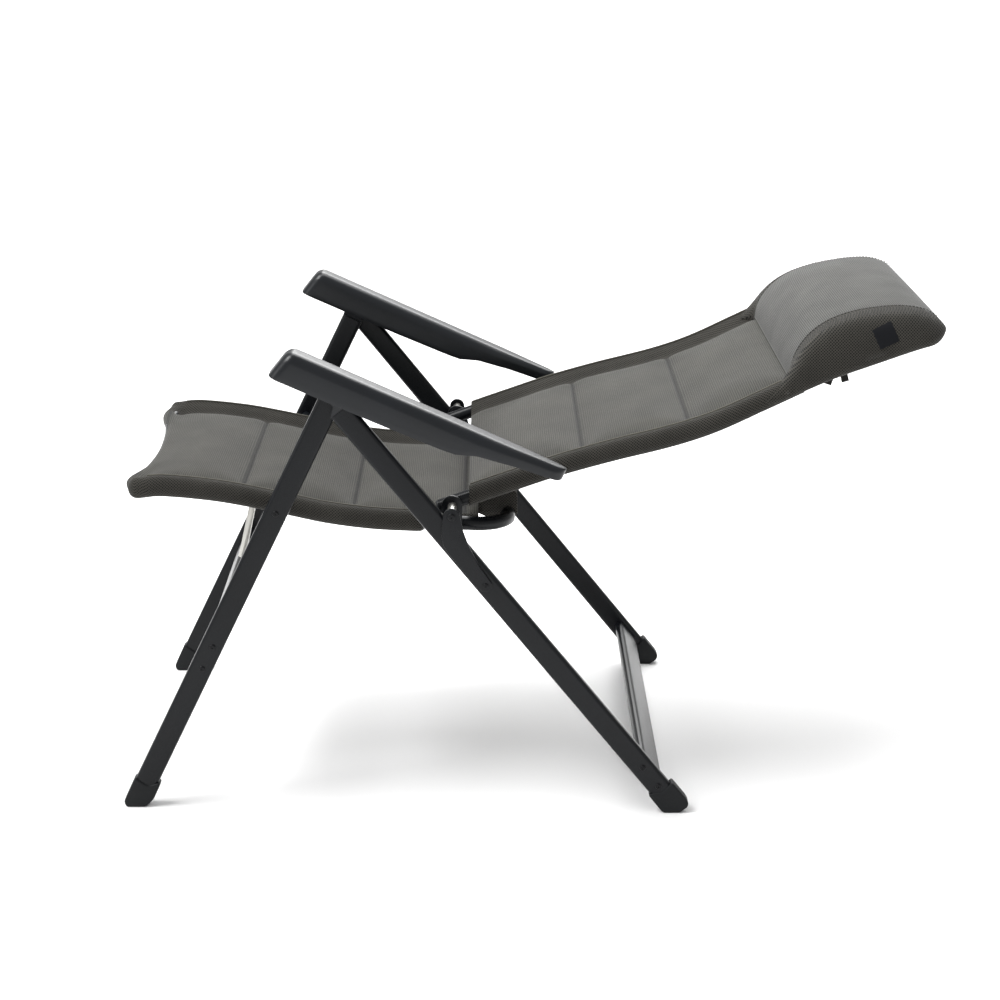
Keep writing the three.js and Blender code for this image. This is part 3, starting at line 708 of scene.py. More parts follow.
class CHAIR_OT_tubes(bpy.types.Operator):
    """Makes the flat legs, the stretchers and the bent round rails"""

    bl_idname = "chair.tubes"
    bl_label = "Legs and rails"

    def execute(self, context):
        s = context.scene.chair_sizes
        leg = rounded_box(s.leg_width, s.leg_depth, s.corner_radius, 7)
        for name, side in SIDES:
            for part, on, angle, top, y, body in (
                    ("front_leg", FRONT_ON, FRONT_ANGLE, FRONT_TOP, FRONT_Y, "front_frame"),
                    ("rear_leg", REAR_ON, REAR_ANGLE, REAR_TOP, REAR_Y, "rear_frame")):
                a, b = on_line(on, angle, LEG_END), on_line(on, angle, top)
                path = [at(a[0], side * y, a[1]), at(b[0], side * y, b[1])]
                across = (path[1] - path[0]).cross(Vector((0, 1, 0)))
                tube = sweep(f"{part}_tube_{name}", path, leg, "coat", normal=across)
                place_piece(tube, body, "frame_paint", f"{part}_{name}")
        flat = rounded_box(0.048, 0.016, 0.0075, 8)
        for part, spot, angle, reach, body in (
                ("front_stretcher", FRONT_STRETCH, FRONT_ANGLE, 272.6, "front_frame"),
                ("rear_stretcher", REAR_STRETCH, REAR_ANGLE, 298.6, "rear_frame")):
            t = math.radians(angle)
            path = [at(spot[0], y, spot[1]) for y in (-reach, reach)]
            bar = sweep(f"{part}_bar", path, flat, "coat", normal=(math.cos(t), 0, math.sin(t)))
            place_piece(bar, body, "frame_paint", part)
        ring = round_section(s.rail_radius, 28)
        seat = [sweep("seat_rail", curve_through(seat_bar_line(), 0.006), ring, "coat"),
                sweep("seat_loop", curve_through(rear_loop_line(), 0.004), ring, "coat")]
        place_piece(join("seat_rails", seat), "seat", "frame_paint", "seat_frame")
        back = sweep("back_rails", curve_through(back_bar_line(), 0.006), ring, "coat")
        place_piece(back, "back", "frame_paint", "back_frame")
        return {"FINISHED"}


STRIP = 20.0  # width of the mesh strip between a sleeve and the centre panel
SLEEVE_RISE, SLEEVE_DROP = 1.28, 1.06  # the padding makes the sleeves taller than the rails they cover
TOP_JOIN, LOW_JOIN = 128, 140  # where the centre cloth meets the sleeve, in degrees round the rail
TUCK_IN, TUCK_LOSS, TUCK_RADIUS = 22, 14, 6.5  # how the panel narrows past the brackets, and its rim there
NOSE, BAR_REACH, BAR_HALF = 12.5, 13.2, 13.0  # the cover's rounded front round its bar
NOSE_ANGLES = (8, 22, 38, 55, 72)


def crown_of(x, y, cuts, edge, height):
    """Padding height over a pocket: it springs steeply from the seams and side strips to a full middle."""
    gap = min(abs(x - c) for c in cuts)
    near = 1 - min(1.0, gap / 30)
    far = 1 - min(1.0, max(0.0, edge - STRIP - abs(y)) / 34)
    crease = 4.5 * math.exp(-(gap / 2.2) ** 2)
    return (height * (1 - near ** 2.6) ** 0.42 - crease) * (1 - far ** 2.4) ** 0.45


class Cover:
    """A padded cover over two rails: rings of points round its section, one for each step of length."""

    def __init__(self, rail, rail_y, start, stop, cuts, sizes, front_round, narrow=9999):
        self.rail, self.rail_y, self.cuts, self.s = rail, rail_y, cuts, sizes
        self.start, self.stop, self.front_round, self.narrow = start, stop, front_round, narrow
        self.r = sizes.sleeve_radius * 1000
        self.edge = rail_y - self.r * 0.62  # where the centre cloth meets the sleeve

    def sag(self, y):
        """How far the front edge lies back at y."""
        if not self.front_round:
            return 0.0
        k = abs(y) / (self.rail_y - 30)
        outward = max(0.0, min(1.0, (abs(y) - 120) / 60)) * max(0.0, min(1.0, (self.rail_y - abs(y)) / 30))
        return 13.0 * max(0.0, 1 - k * k) - 8.0 * outward

    def ring(self, across, wrap):
        """Points round the section as (y, part, angle): part is 0 on top, 1 the sleeve at +Y,
        2 underneath and 3 the sleeve at -Y."""
        out = [(self.edge * (2 * k / across - 1), 0, 0.0) for k in range(across + 1)]
        turn = [math.radians(TOP_JOIN - (TOP_JOIN + LOW_JOIN) * k / wrap) for k in range(1, wrap)]
        out += [(self.rail_y, 1, t) for t in turn]
        low = across // 2
        out += [(self.edge * (1 - 2 * k / low), 2, 0.0) for k in range(low + 1)]
        out += [(-self.rail_y, 3, t) for t in turn[::-1]]
        return out

    def point(self, row, spot, up, down):
        """Side-view x, y and z of one ring point. row is (x, size, nose), and spot comes from ring().
        up and down are the padding's least height above and below the rails."""
        x, size, nose = row
        y, part, angle = spot
        sleeve = part in (1, 3)
        # Behind the hinge brackets the cover leaves the rails and runs on as a narrower panel.
        tuck = smooth_step(self.narrow - 5, self.narrow + 5, x)
        wide = (self.edge - TUCK_LOSS * tuck) / self.edge
        r = (self.r * (1 - tuck) + TUCK_RADIUS * tuck) * size
        pull = self.sag(self.rail_y if sleeve else y) * (1 - smooth_step(0, 110, x - self.start))
        px = x + pull - nose * NOSE
        mid = float(level(self.rail, max(px, self.rail[0][0])))
        bar = 0.0
        if self.front_round:
            lateral = self.rail_y if sleeve else abs(y)
            mid -= 8.0 * (1 - (lateral / self.rail_y) ** 2) * (1 - smooth_step(0, 90, px - self.start))
            bar = max(0.0, BAR_REACH ** 2 - (x - self.start) ** 2) ** 0.5
        if sleeve:
            sign = 1 if part == 1 else -1
            out = sign * (self.rail_y - TUCK_IN * tuck + r * math.cos(angle) * 0.98)
            return px, out, mid + r * (SLEEVE_RISE if angle > 0 else SLEEVE_DROP) * math.sin(angle)
        if part == 0:
            high = max(up + crown_of(px, y, self.cuts, self.edge, self.s.crown * 1000), bar * 0.98)
            join_z = r * SLEEVE_RISE * math.sin(math.radians(TOP_JOIN))
            near = smooth_step(self.edge - STRIP - 2, self.edge + 1, abs(y))
        else:
            high = max(down, bar)
            join_z = r * SLEEVE_DROP * math.sin(math.radians(LOW_JOIN))
            near = smooth_step(self.edge - 12, self.edge, abs(y))
        high = high if size == 1.0 else BAR_HALF * size
        rise = high * (1 - near) + join_z * near
        return px, y * wide, mid + (rise if part == 0 else -rise)


def smooth_step(a, b, x):
    t = max(0.0, min(1.0, (x - a) / (b - a)))
    return t * t * (3 - 2 * t)


def build_cover(name, cover, up, down):
    """The cover's mesh with its weave map and two cloths: ribbed in the middle, open mesh at the sides.
    Its ends stay open until it is subdivided."""
    s = cover.s
    cell = s.cell * 1000
    across = int(round(2 * cover.edge / cell / 2)) * 2
    wrap = 14
    ring = cover.ring(across, wrap)
    n = len(ring)
    xs = list(np.arange(cover.start, cover.stop + cell * 0.5, cell))
    for c in cover.cuts:
        if cover.start < c < cover.stop:
            xs = [x for x in xs if abs(x - c) > 7] + [c + d for d in (-6, -3.2, -1.5, 0, 1.5, 3.2, 6)]
    xs.sort()
    table = [(x, 1.0, 0.0) for x in xs]
    if cover.front_round:
        turns = [math.radians(a) for a in NOSE_ANGLES]
        table = [(xs[0], math.sin(t), math.cos(t)) for t in turns] + table
    verts, uvs, seam, crease_shade = [], [], [], []
    # The weave's v runs round the section in metres.
    for x, size, nose in table:
        v_run = -cover.edge
        last = None
        for y, part, angle in ring:
            px, py, pz = cover.point((x, size, nose), (y, part, angle), up, down)
            p = at(px, py, pz)
            if last is not None:
                v_run += (p - last).length * 1000
            last = p
            verts.append(p)
            uvs.append(((x - nose * NOSE) / 1000, v_run / 1000))
            # Painted shade: how much the cloth is darkened in the seams' valleys and along the side strips'
            # edges.
            gap = min(abs(px - c) for c in cover.cuts)
            rim = abs(abs(y) - (cover.edge - STRIP))
            dark = max(math.exp(-(gap / 2.6) ** 2), 0.7 * math.exp(-(rim / 3.5) ** 2))
            crease_shade.append(dark if part == 0 else 0.0)
            at_side = cover.edge - abs(y) < STRIP + 2
            seam.append(part != 0 or gap < 3.5 or at_side or size < 1 or x > cover.stop - 8)
    mesh = mesh_from(name, verts, grid_faces(len(table), n))
    obj = link_mesh(name, mesh)
    mesh.materials.append(FINISHES["ribbed"])
    mesh.materials.append(FINISHES["mesh"])
    mesh.attributes.new("crease", "FLOAT", "POINT").data.foreach_set("value", crease_shade)
    layer = mesh.uv_layers.new(name="Weave")
    for poly in mesh.polygons:
        j = min(v % n for v in poly.vertices)
        wraps = len(poly.vertices) == 4 and {v % n for v in poly.vertices} == {0, n - 1}
        for loop in poly.loop_indices:
            v = mesh.loops[loop].vertex_index
            u, w = uvs[v]
            if wraps and v % n == 0:
                w = uvs[v - 1 + n][1] + s.cell
            layer.data[loop].uv = (u, w)
        part = ring[j][1]
        side_on = max(abs(ring[v % n][0]) for v in poly.vertices) > cover.edge - STRIP + 1
        poly.material_index = 0 if part in (0, 2) and not wraps and j != across and not side_on else 1
        poly.use_smooth = True
    pins = obj.vertex_groups.new(name="pins")
    pins.add([i for i, pinned in enumerate(seam) if pinned], 1.0, "REPLACE")
    bm = bmesh.new()
    bm.from_mesh(mesh)
    bmesh.ops.recalc_face_normals(bm, faces=bm.faces)
    bm.to_mesh(mesh)
    bm.free()
    return obj


def swell(obj, cap, frames=14):
    """Fills a cover with air by a cloth simulation that holds its seams, then keeps the shape."""
    pressure = bpy.context.scene.chair_sizes.swell
    rest = np.zeros(len(obj.data.vertices) * 3)
    obj.data.vertices.foreach_get("co", rest)
    m = obj.modifiers.new("fill", "CLOTH")
    m.settings.quality = 5
    m.settings.mass = 0.15
    m.settings.tension_stiffness = 12
    m.settings.compression_stiffness = 5
    m.settings.shear_stiffness = 4
    m.settings.bending_stiffness = 0.6
    m.settings.use_pressure = True
    m.settings.uniform_pressure_force = pressure
    m.settings.vertex_group_mass = "pins"
    m.settings.effector_weights.gravity = 0
    m.point_cache.frame_start, m.point_cache.frame_end = 1, frames
    scene = bpy.context.scene
    for f in range(1, frames + 1):
        scene.frame_set(f)
    dg = bpy.context.evaluated_depsgraph_get()
    moved = np.zeros_like(rest)
    obj.evaluated_get(dg).data.vertices.foreach_get("co", moved)
    obj.modifiers.clear()
    scene.frame_set(1)
    step = (moved - rest).reshape(-1, 3)
    far = np.linalg.norm(step, axis=1, keepdims=True)
    step *= np.minimum(1.0, cap / np.maximum(far, 1e-9))
    obj.data.vertices.foreach_set("co", (rest.reshape(-1, 3) + step).ravel())
    obj.data.update()


def subdivide(obj):
    """Rounds a cover's mesh once and then closes its open ends."""
    m = obj.modifiers.new("smooth", "SUBSURF")
    m.levels = m.render_levels = 1
    apply_modifiers(obj)
    bm = bmesh.new()
    bm.from_mesh(obj.data)
    rim = [e for e in bm.edges if e.is_boundary]
    made = bmesh.ops.holes_fill(bm, edges=rim, sides=0)["faces"]
    bmesh.ops.triangulate(bm, faces=made)
    bmesh.ops.recalc_face_normals(bm, faces=bm.faces)
    for f in bm.faces:
        f.smooth = True
    bm.to_mesh(obj.data)
    bm.free()


def piping(name, lines, body):
    """Corded edges along the lines."""
    s = bpy.context.scene.chair_sizes
    made = [sweep(f"{name}_{i}", curve_through(line, 0.006), round_section(s.piping_radius, 10), "piping")
            for i, line in enumerate(lines)]
    return place_piece(join(name, made), body, "cover_fabric")


def cover_line(cover, x0, x1, angle, side, out=0.4):
    """A line along a sleeve at an angle round it, in row metres."""
    r = cover.r * 1.04 + out
    pts = []
    for x in np.linspace(x0, x1, 24):
        z = float(level(cover.rail, x))
        rise = r * math.sin(math.radians(angle)) * (SLEEVE_RISE / 1.05 if angle > 0 else 1)
        pts.append(at(x, side * (cover.rail_y + r * math.cos(math.radians(angle))), z + rise))
    return pts


def seam_line(cover, x, up, lift):
    """A seam from edge to edge across the top, lift above the padding's own line."""
    z = float(level(cover.rail, x))
    return [at(x, y, z + up + lift + crown_of(x, y, cover.cuts, cover.edge, cover.s.crown * 1000))
            for y in np.linspace(-cover.edge + STRIP + 4, cover.edge - STRIP - 4, 60)]


def seam_shade_cords(name, cover, cuts, up, body):
    """Dark cords laid in the valleys of the cross seams as painted shade, with their stitches."""
    lines = [seam_line(cover, x, up, 4.4) for x in cuts]
    cords = [sweep(f"{name}_{i}", line, round_section(0.0012, 8), "thread") for i, line in enumerate(lines)]
    place_piece(join(name + "_cords", cords), body, "cover_fabric")
    raised = [[p + Vector((0, 0, 0.0011)) for p in line] for line in lines]
    place_piece(stitches(name + "_stitches", raised), body, "cover_fabric")


# Where each cover is sewn across, and how far below its rails the cloth lies there.
SEAT_CUTS = (24, 182, 346, 512)
BACK_CUTS = (516, 686, 842, 993)
SEAT_UP, BACK_UP = -3.5, -4.5
PIPING_ANGLES = (103, -118)


class CHAIR_OT_seat_cover(bpy.types.Operator):
    """Makes the padded seat with its sleeves, piping and cross seams"""

    bl_idname = "chair.seat_cover"
    bl_label = "Seat cover"

    def execute(self, context):
        s = context.scene.chair_sizes
        cover = Cover(SEAT_RAIL, SEAT_Y, 30, 530, SEAT_CUTS, s, True, narrow=455)
        seat = build_cover("seat_padding", cover, SEAT_UP, 9.0)
        swell(seat, 0.006)
        subdivide(seat)
        place_piece(seat, "seat", "cover_fabric", "seat_cushion")
        edges = [cover_line(cover, 46, 450, a, side) for side in (-1, 1) for a in PIPING_ANGLES]
        piping("seat_piping", edges, "seat")
        seam_shade_cords("seat_seam", cover, SEAT_CUTS[1:3], SEAT_UP, "seat")
        return {"FINISHED"}


class CHAIR_OT_back_cover(bpy.types.Operator):
    """Makes the padded back with its sleeves, piping and cross seams"""

    bl_idname = "chair.back_cover"
    bl_label = "Back cover"

    def execute(self, context):
        s = context.scene.chair_sizes
        cover = Cover(BACK_RAIL, BACK_Y, 519, 1001, BACK_CUTS, s, False)
        back = build_cover("back_padding", cover, BACK_UP, 9.5)
        swell(back, 0.006)
        subdivide(back)
        place_piece(back, "back", "cover_fabric", "back_cushion")
        edges = [cover_line(cover, 521, 975, a, side) for side in (-1, 1) for a in PIPING_ANGLES]
        piping("back_piping", edges, "back")
        seam_shade_cords("back_seam", cover, BACK_CUTS[1:3], BACK_UP, "back")
        return {"FINISHED"}


# The head cushion's middle outline as (x, height above the rail line).
HEAD_TOP = [(985, -8), (986, 12), (989, 26), (997, 43), (1009, 56), (1024, 64), (1042, 67.5), (1060, 67.5),
            (1080, 65.5), (1100, 61.5), (1120, 56), (1140, 49), (1162, 39), (1182, 26), (1196, 12), (1205, 0),
            (1210, -8)]
HEAD_FRONT, HEAD_END, HEAD_SEAM_Y = 985, 1211, 212
HEAD_LAST = HEAD_END - 0.4
HEAD_MIDDLE, HEAD_SIDE, HEAD_ROUND = 228, 262.5, 30  # half widths, and how far each side rounds over
HEAD_LINE = [*BACK_RAIL, BACK_TOP, (1215, 722)]


def head_point(x, side, y):
    """A point of the head cushion: x along the middle outline, side +1 on top and -1 underneath."""
    a = abs(y)
    end = HEAD_END - (44 - math.sqrt(max(0.0, 44 ** 2 - max(0.0, a - 218) ** 2)))
    shrink = (1 - min(1.0, max(0.0, (a - 232) / 30.0)) ** 2.6) ** (1 / 2.6)
    # The padding has settled a little more on the side away from the tab.
    fall = 1 - (0.16 * (a / 235) ** 2.5 if y < 0 else 0.36 * (a / 235) ** 1.9)
    top = float(np.interp(x, *zip(*HEAD_TOP)))
    neck = 38 * smooth_step(212, 246, a) * (math.exp(-max(top, 0.0) / 13) if side > 0 else 1)
    t = (x - HEAD_FRONT) / (HEAD_END - HEAD_FRONT)
    px = HEAD_FRONT - neck * (1 - t) ** 2 + t * (end - HEAD_FRONT)
    tip = math.sqrt(max(0.0, 1 - max(0.0, (x - (HEAD_END - 15)) / 15) ** 2))
    lip = smooth_step(HEAD_FRONT, HEAD_FRONT + 14, x)
    mid = float(level(HEAD_LINE, px))
    if side > 0:
        return at(px, y, mid + (9.5 * tip + max(top, -9.5 * (1 - tip)) * fall) * shrink)
    return at(px, y, mid - (7 + 7.5 * lip) * tip * shrink)


class CHAIR_OT_head_cushion(bpy.types.Operator):
    """Makes the head cushion that swells over the top of the back"""

    bl_idname = "chair.head_cushion"
    bl_label = "Head cushion"

    def execute(self, context):
        s = context.scene.chair_sizes
        cell = s.cell * 1000
        outline = curve_through([(x, 0, h) for x, h in HEAD_TOP], cell)
        ring = [(min(p.x, HEAD_LAST), 1) for p in outline]
        back = int((HEAD_END - HEAD_FRONT) / cell)
        ring += [(HEAD_LAST - (HEAD_LAST - HEAD_FRONT) * k / back, -1) for k in range(1, back + 1)]
        n = len(ring)
        turns = [math.radians(a) for a in (10, 22, 34, 46, 58, 70, 81)]
        ends = [HEAD_SIDE - HEAD_ROUND * (1 - math.cos(t)) for t in turns]
        count = int(round(2 * HEAD_MIDDLE / cell))
        ys = [-e for e in ends] + list(np.linspace(-HEAD_MIDDLE, HEAD_MIDDLE, count + 1)) + ends[::-1]
        seams = [k for k, y in enumerate(ys) if abs(y) > HEAD_SEAM_Y]
        verts, uvs = [], []
        for y in ys:
            run, last = 0.0, None
            for x, side in ring:
                p = head_point(x, side, y)
                run += (p - last).length if last else 0.0
                last = p
                verts.append(p)
                uvs.append((run, y / 1000))
        mesh = mesh_from("head_padding", verts, grid_faces(len(ys), n))
        head = link_mesh("head_padding", mesh)
        mesh.materials.append(FINISHES["head"])
        mesh.materials.append(FINISHES["mesh"])
        layer = mesh.uv_layers.new(name="Weave")
        top_n = len(outline)
        for poly in mesh.polygons:
            i, j = divmod(min(poly.vertices), n)
            wraps = {v % n for v in poly.vertices} == {0, n - 1}
            on_end = abs(ys[i]) > 238 or abs(ys[i + 1]) > 238
            for loop in poly.loop_indices:
                v = mesh.loops[loop].vertex_index
                u, w = uvs[v]
                if on_end:
                    u, w = verts[v].x, verts[v].z
                elif wraps and v % n == 0:
                    u = uvs[v + n - 1][0] + s.cell
                layer.data[loop].uv = (u, w)
            plain = i in seams or (i + 1) in seams or wraps or j >= top_n - 1
            poly.material_index = 1 if plain else 0
        pins = head.vertex_groups.new(name="pins")
        held = [k for k in range(len(verts))
                if k % n >= top_n - 2 or k % n < 3 or abs(ys[k // n]) > 240]
        pins.add(held, 1.0, "REPLACE")
        turn_out(head)
        swell(head, 0.005)
        subdivide(head)
        place_piece(head, "back", "head_fabric", "head_cushion")
        lines = [[head_point(x, 1, side * (HEAD_SEAM_Y + 1)) + Vector((0, side * 0.0004, 0.0007))
                  for x in np.linspace(HEAD_FRONT + 6, HEAD_END - 8, 60)] for side in (-1, 1)]
        place_piece(stitches("head_stitches", lines), "back", "head_fabric")
        return {"FINISHED"}


class CHAIR_OT_tab(bpy.types.Operator):
    """Makes the small woven tab and the strap ends under the head cushion"""

    bl_idname = "chair.tab"
    bl_label = "Tab and strap ends"

    def execute(self, context):
        head = bpy.data.objects["head_padding"]
        bpy.context.view_layer.update()
        dg = context.evaluated_depsgraph_get()
        low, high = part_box("side_tab")
        centre = (low + high) / 2
        half = 0.0148
        tilt = math.radians(25)
        cells = 10
        verts = []
        for i in range(cells + 1):
            for j in range(cells + 1):
                a, b = 2 * i / cells - 1, 2 * j / cells - 1
                dx = half * (a * math.cos(tilt) - b * math.sin(tilt))
                dz = half * (a * math.sin(tilt) + b * math.cos(tilt))
                start = Vector((centre.x + dx, -0.5, centre.z + dz))
                hit, where, normal, _ = head.ray_cast(start, Vector((0, 1, 0)), depsgraph=dg)
                p = where + normal * (0.0011 - 0.0006 * max(abs(a), abs(b)) ** 6) if hit else start
                verts.append(p)
        side = cells + 1
        faces = [(i * side + j, (i + 1) * side + j, (i + 1) * side + j + 1, i * side + j + 1)
                 for i in range(cells) for j in range(cells)]
        tab = new_piece("woven_tab", verts, faces, "tab")
        m = tab.modifiers.new("thick", "SOLIDIFY")
        m.thickness, m.offset = 0.0012, -1
        apply_modifiers(tab)
        turn_out(tab)
        place_piece(tab, "back", "tab_fabric", "side_tab")
        ends = []
        for k, (x, z, tilt) in enumerate(((1044, 647, -0.35), (1061, 651, 0.25))):
            path = [at(x + tilt * d, -229 - 0.16 * d, z + 6 - d) for d in (0, 4, 8, 12, 15)]
            strap = rounded_box(0.011, 0.0016, 0.0007, 3)
            ends.append(sweep(f"strap_{k}", curve_through(path, 0.002), strap, "thread", normal=(1, 0, 0.2)))
        place_piece(join("strap_ends", ends), "back", "cover_fabric")
        return {"FINISHED"}


# Side-view outlines as (x, z, corner radius).
TAIL = [(520, 447, 3), (527, 459, 6), (556, 464, 12), (582, 460, 9), (591, 449, 9), (591.6, 416, 11),
        (578, 403.4, 9), (560, 404.5, 8), (530, 419, 6)]


class CHAIR_OT_seat_tail(bpy.types.Operator):
    """Makes the cloth tail that wraps the rear bar of the seat frame"""

    bl_idname = "chair.seat_tail"
    bl_label = "Seat tail"

    def execute(self, context):
        low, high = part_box("junction_loop")
        half = high.y * 1000
        tail = plate("seat_tail", rounded(TAIL, 4), -half, half, "mesh", 0.0016, 2)
        layer = tail.data.uv_layers.new(name="Weave")
        for poly in tail.data.polygons:
            for k in poly.loop_indices:
                x, y, z = tail.data.vertices[tail.data.loops[k].vertex_index].co
                layer.data[k].uv = (x, z) if abs(poly.normal.y) > 0.7 else (x + z, y)
        place_piece(tail, "seat", "cover_fabric", "junction_loop")
        return {"FINISHED"}


FRONT_CAP = [(16.8, 48, 3), (-2, 8, 9), (2, 0, 5), (31, 0, 10), (43, 12, 12), (56.2, 40, 3), (36, 34, 10)]
REAR_CAP = [(784, 30, 3), (807, 0, 10), (833, 0, 9), (848, 12, 9), (841, 24, 10), (820.5, 49.5, 3),
            (806, 34, 10)]


# Small fittings that keep their CAD shape: (node, finish, body, slot, rounding of the edges).
FOOT_SKINS = (
    ("front_plug", "moulded", "front_frame", "moulded_plastic", 0.0012),
    ("rear_plug", "moulded", "rear_frame", "moulded_plastic", 0.0016),
    ("apex_washer", "zinc", "rear_frame", "bolt_steel", 0.0006),
    ("seat_spacer", "moulded", "front_frame", "bolt_steel", 0.0008),
    ("back_end_plug", "moulded", "back", "moulded_plastic", 0.0009))
HINGE_SKINS = (
    ("seat_bracket", "coat", "seat", "moulded_plastic", 0.0012),
    ("hinge_washer", "black_bolt", "back", "bolt_steel", 0.0005),
    ("ratchet_pin", "black_bolt", "back", "bolt_steel", 0.0008))


def polished(node, finish, body, slot, width):
    """A CAD node's shape as one clean skin with rounded edges."""
    source = frame["nodes"][node]
    bm = bmesh.new()
    bm.from_mesh(source.data)
    bmesh.ops.remove_doubles(bm, verts=bm.verts, dist=2e-6)
    bmesh.ops.dissolve_limit(bm, angle_limit=math.radians(1.5), verts=bm.verts, edges=bm.edges)
    mesh = bpy.data.meshes.new(node + "_skin")
    bm.to_mesh(mesh)
    bm.free()
    mesh.materials.append(FINISHES[finish])
    obj = link_mesh(node + "_skin", mesh)
    bevel(obj, width, 2, 28)
    return place_piece(obj, body, slot, node)


class CHAIR_OT_feet(bpy.types.Operator):
    """Makes the four foot caps and the plugs and washers at the legs' tops"""

    bl_idname = "chair.feet"
    bl_label = "Feet and plugs"

    def execute(self, context):
        for name, side in SIDES:
            for part, outline, body in (("front_foot", FRONT_CAP, "front_frame"),
                                        ("rear_foot", REAR_CAP, "rear_frame")):
                low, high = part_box(f"{part}_{name}")
                y0, y1 = low.y * 1000, high.y * 1000
                cap = plate(f"{part}_cap_{name}", rounded(outline), y0, y1, "foot", 0.0034, 4)
                place_piece(cap, body, "foot_plastic", f"{part}_{name}")
            for part, finish, body, slot, width in FOOT_SKINS:
                polished(f"{part}_{name}", finish, body, slot, width)
        polished("front_stay", "zinc", "front_frame", "zinc_steel", 0.0008)
        return {"FINISHED"}


def horn():
    """The hinge arm's outline: a round head, a bowed back edge and a rounded tip."""
    head = arc(*HINGE, 12.3, 10, 170, 20)
    left = [(480.2, 452), (479.6, 436), (482.5, 421), (491, 408), (503, 393), (517, 375.5), (528, 362)]
    tip = arc(*ARM_PIVOT, 9.5, 215, 400, 14)
    right = [(534, 391.5), (523.9, 411), (516.7, 427.3), (510.6, 444.5)]
    return head + left + tip + right


def screw_spots(middle, angle):
    """The places of a stretcher's two screws, along the leg that they pass through."""
    t = math.radians(angle)
    return [(middle[0] + d * math.cos(t), middle[1] + d * math.sin(t)) for d in (-SCREW_STEP, SCREW_STEP)]


class CHAIR_OT_hinges(bpy.types.Operator):
    """Makes the hinge arms, brackets, washers, spacers, locking pins and every screw"""

    bl_idname = "chair.hinges"
    bl_label = "Hinges and screws"

    def execute(self, context):
        for name, side in SIDES:
            arm = "arm_" + name
            low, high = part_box(f"hinge_arm_{name}")
            y0, y1 = low.y * 1000, high.y * 1000
            horn_plate = plate(f"hinge_arm_plate_{name}", horn(), y0, y1, "coat", 0.0011)
            place_piece(horn_plate, arm, "frame_paint", f"hinge_arm_{name}")
            polished(f"hinge_spacer_{name}", "zinc", arm, "zinc_steel", 0.0008)
            for part, finish, body, slot, width in HINGE_SKINS:
                polished(f"{part}_{name}", finish, body, slot, width)
            out = Vector((0, side, 0))
            face = max(abs(y0), abs(y1)) * side
            head = screws(f"hinge_screw_{name}", [(at(HINGE[0], face, HINGE[1]), out)], "black_bolt", 0.0056)
            place_piece(head, arm, "bolt_steel", f"hinge_bolt_{name}")
            spot = [(at(ARM_PIVOT[0], face, ARM_PIVOT[1]), out)]
            rivet = screws(f"arm_rivet_head_{name}", spot, "black_bolt", 0.0042)
            place_piece(rivet, arm, "bolt_steel", f"arm_rivet_{name}")
            spots = screw_spots(FRONT_STRETCH, FRONT_ANGLE) + [SEAT_PIVOT]
            places = [(at(x, side * FRONT_FACE, z), out) for x, z in spots]
            front = screws(f"front_leg_screws_{name}", places, "black_bolt", 0.0046)
            place_piece(front, "front_frame", "bolt_steel", f"seat_bolt_{name}")
            places = [(at(x, side * REAR_FACE, z), out) for x, z in screw_spots(REAR_STRETCH, REAR_ANGLE)]
            rear = screws(f"rear_leg_screws_{name}", places, "black_bolt", 0.0046)
            place_piece(rear, "rear_frame", "bolt_steel")
        return {"FINISHED"}


# Armrest underside as (distance along the top, depth below it), from nose to tail.
ARM_TILT, ARM_START = -24.3, (266, 708)
ARM_UNDER = [(-11, 42), (4, 45), (80, 44.5), (157, 43.8), (251, 41.7), (275, 40), (290, 34.5), (305, 29.5),
             (355, 22.7), (405, 20), (424, 18.5), (432, 16)]


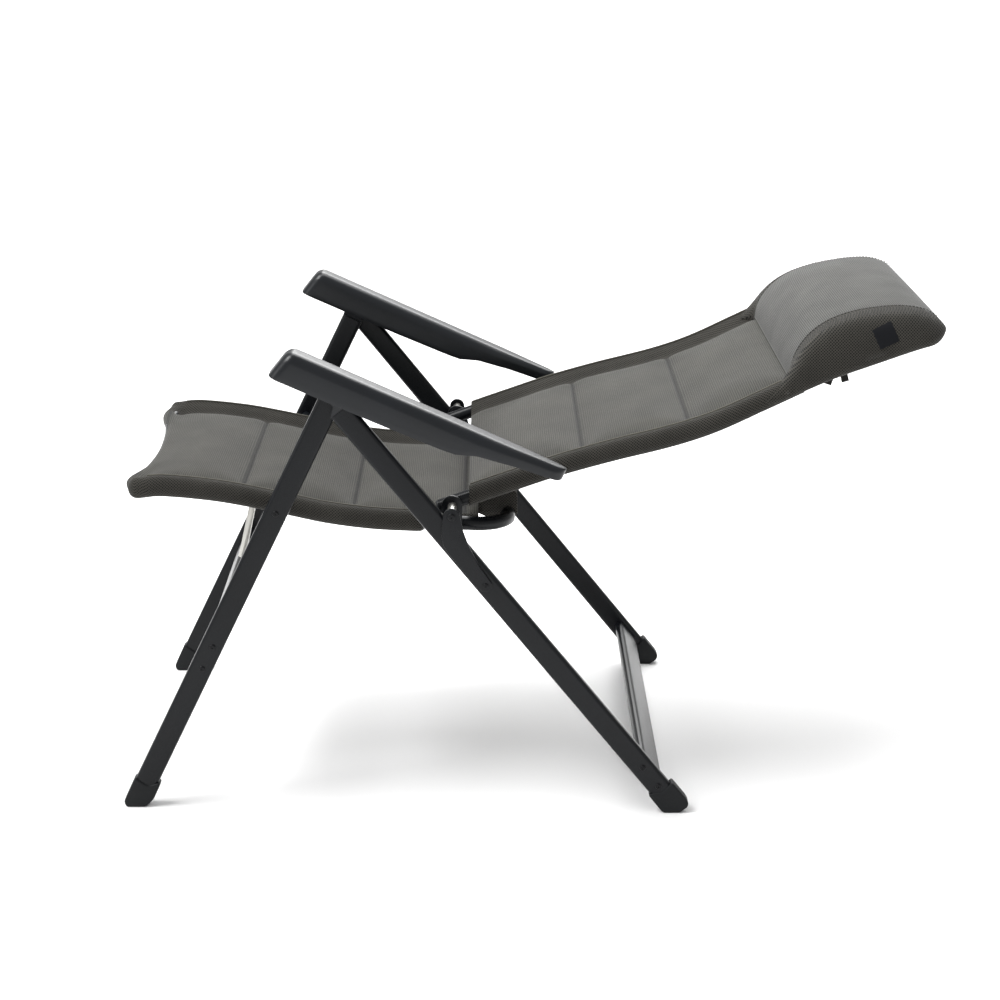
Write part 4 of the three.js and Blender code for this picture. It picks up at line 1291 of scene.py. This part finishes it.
class CHAIR_OT_armrests(bpy.types.Operator):
    """Makes the moulded armrests with their shoulders, and the notched racks under them"""

    bl_idname = "chair.armrests"
    bl_label = "Armrests"

    def execute(self, context):
        c, s = math.cos(math.radians(ARM_TILT)), math.sin(math.radians(ARM_TILT))
        nose, tail = 0.5, 432.0
        us = [nose + 14 * (1 - math.cos(math.radians(a))) for a in range(0, 90, 10)]
        us += list(np.linspace(nose + 14, tail - 18, 70))
        us += [tail - 18 * (1 - math.sin(math.radians(a))) for a in range(10, 91, 10)]
        for name, side in SIDES:
            low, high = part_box(f"armrest_{name}")
            mid, half = (low.y + high.y) * 500, (high.y - low.y) * 500
            rows = []
            for u in us:
                wide = half - 9 * smooth_step(330, 425, u)
                front, back = max(0.0, nose + 14 - u), max(0.0, u - (tail - 18))
                wide -= 14 - math.sqrt(max(0.0, 14 ** 2 - front ** 2)) if front else 0
                wide -= 17 - 17 * math.sqrt(max(0.0, 1 - (back / 18) ** 2)) if back else 0
                top = -(12 - math.sqrt(max(0.0, 12 ** 2 - max(0.0, nose + 12 - u) ** 2)))
                deep = float(np.interp(u, *zip(*ARM_UNDER)))
                fall = 14 if deep > 30 else 14 * deep / 32
                # One half of the section, as (share of the half width, height), from the lip to the middle.
                profile = [(1, -deep), (1, -deep * 0.8), (1, -(deep + fall) / 2), (1, top - fall - 1.5),
                           (0.985, top - fall + 1), (0.95, top - fall * 0.72), (0.86, top - fall * 0.4),
                           (0.74, top - fall * 0.13), (0.62, top - 0.4), (0.5, top), (0.25, top), (0, top)]
                profile = [(k, max(v, -deep)) for k, v in profile]
                row = [(k * wide, v) for k, v in profile] + [(-k * wide, v) for k, v in profile[-2::-1]]
                shear = 0.26 * (1 - smooth_step(0, 70, u))
                run = [(u + shear * v, v, y) for y, v in row]
                rows.append([at(ARM_START[0] + a * c - v * s, mid + y, ARM_START[1] + a * s + v * c)
                             for a, v, y in run])
            n = len(rows[0])
            verts = [p for row in rows for p in row]
            faces = grid_faces(len(rows), n, closed=False)
            faces += [tuple(range(n)), tuple((len(rows) - 1) * n + j for j in range(n))[::-1]]
            arm = new_piece(f"armrest_shell_{name}", verts, faces, "moulded", 50)
            m = arm.modifiers.new("wall", "SOLIDIFY")
            m.thickness, m.offset, m.use_even_offset = 0.0026, -1, True
            apply_modifiers(arm)
            bevel(arm, 0.0006, 2, 55)
            place_piece(arm, "armrest_" + name, "moulded_plastic", f"armrest_{name}")
            polished(f"ratchet_rack_{name}", "black_bolt", "armrest_" + name, "moulded_plastic", 0.0006)
        return {"FINISHED"}


class CHAIR_PT_panel(bpy.types.Panel):
    """Lists the chair's sizes, colours and steps"""

    bl_idname = "CHAIR_PT_panel"
    bl_label = "Reclining camping chair"
    bl_space_type = "VIEW_3D"
    bl_region_type = "UI"
    bl_category = "Chair"

    def draw(self, context):
        scene = context.scene
        for title, owner in (("Sizes", scene.chair_sizes), ("Colours", scene.chair_colours)):
            box = self.layout.box()
            box.label(text=title)
            for name in type(owner).__annotations__:
                box.prop(owner, name)
        for step in STEPS:
            self.layout.operator("chair." + step)


STEPS = ("finishes", "stage", "tubes", "seat_cover", "back_cover", "head_cushion", "tab", "seat_tail", "feet",
         "hinges", "armrests")
CLASSES = (ChairSizes, ChairColours, CHAIR_OT_stage, CHAIR_OT_finishes, CHAIR_OT_tubes, CHAIR_OT_seat_cover,
           CHAIR_OT_back_cover, CHAIR_OT_head_cushion, CHAIR_OT_tab, CHAIR_OT_seat_tail, CHAIR_OT_feet,
           CHAIR_OT_hinges, CHAIR_OT_armrests, CHAIR_PT_panel)


def register():
    for c in CLASSES:
        bpy.utils.register_class(c)
    bpy.types.Scene.chair_sizes = bpy.props.PointerProperty(type=ChairSizes)
    bpy.types.Scene.chair_colours = bpy.props.PointerProperty(type=ChairColours)


def unregister():
    del bpy.types.Scene.chair_colours
    del bpy.types.Scene.chair_sizes
    for c in reversed(CLASSES):
        bpy.utils.unregister_class(c)


def main():
    register()
    for step in STEPS:
        getattr(bpy.ops.chair, step)()


if __name__ == "__main__":
    main()
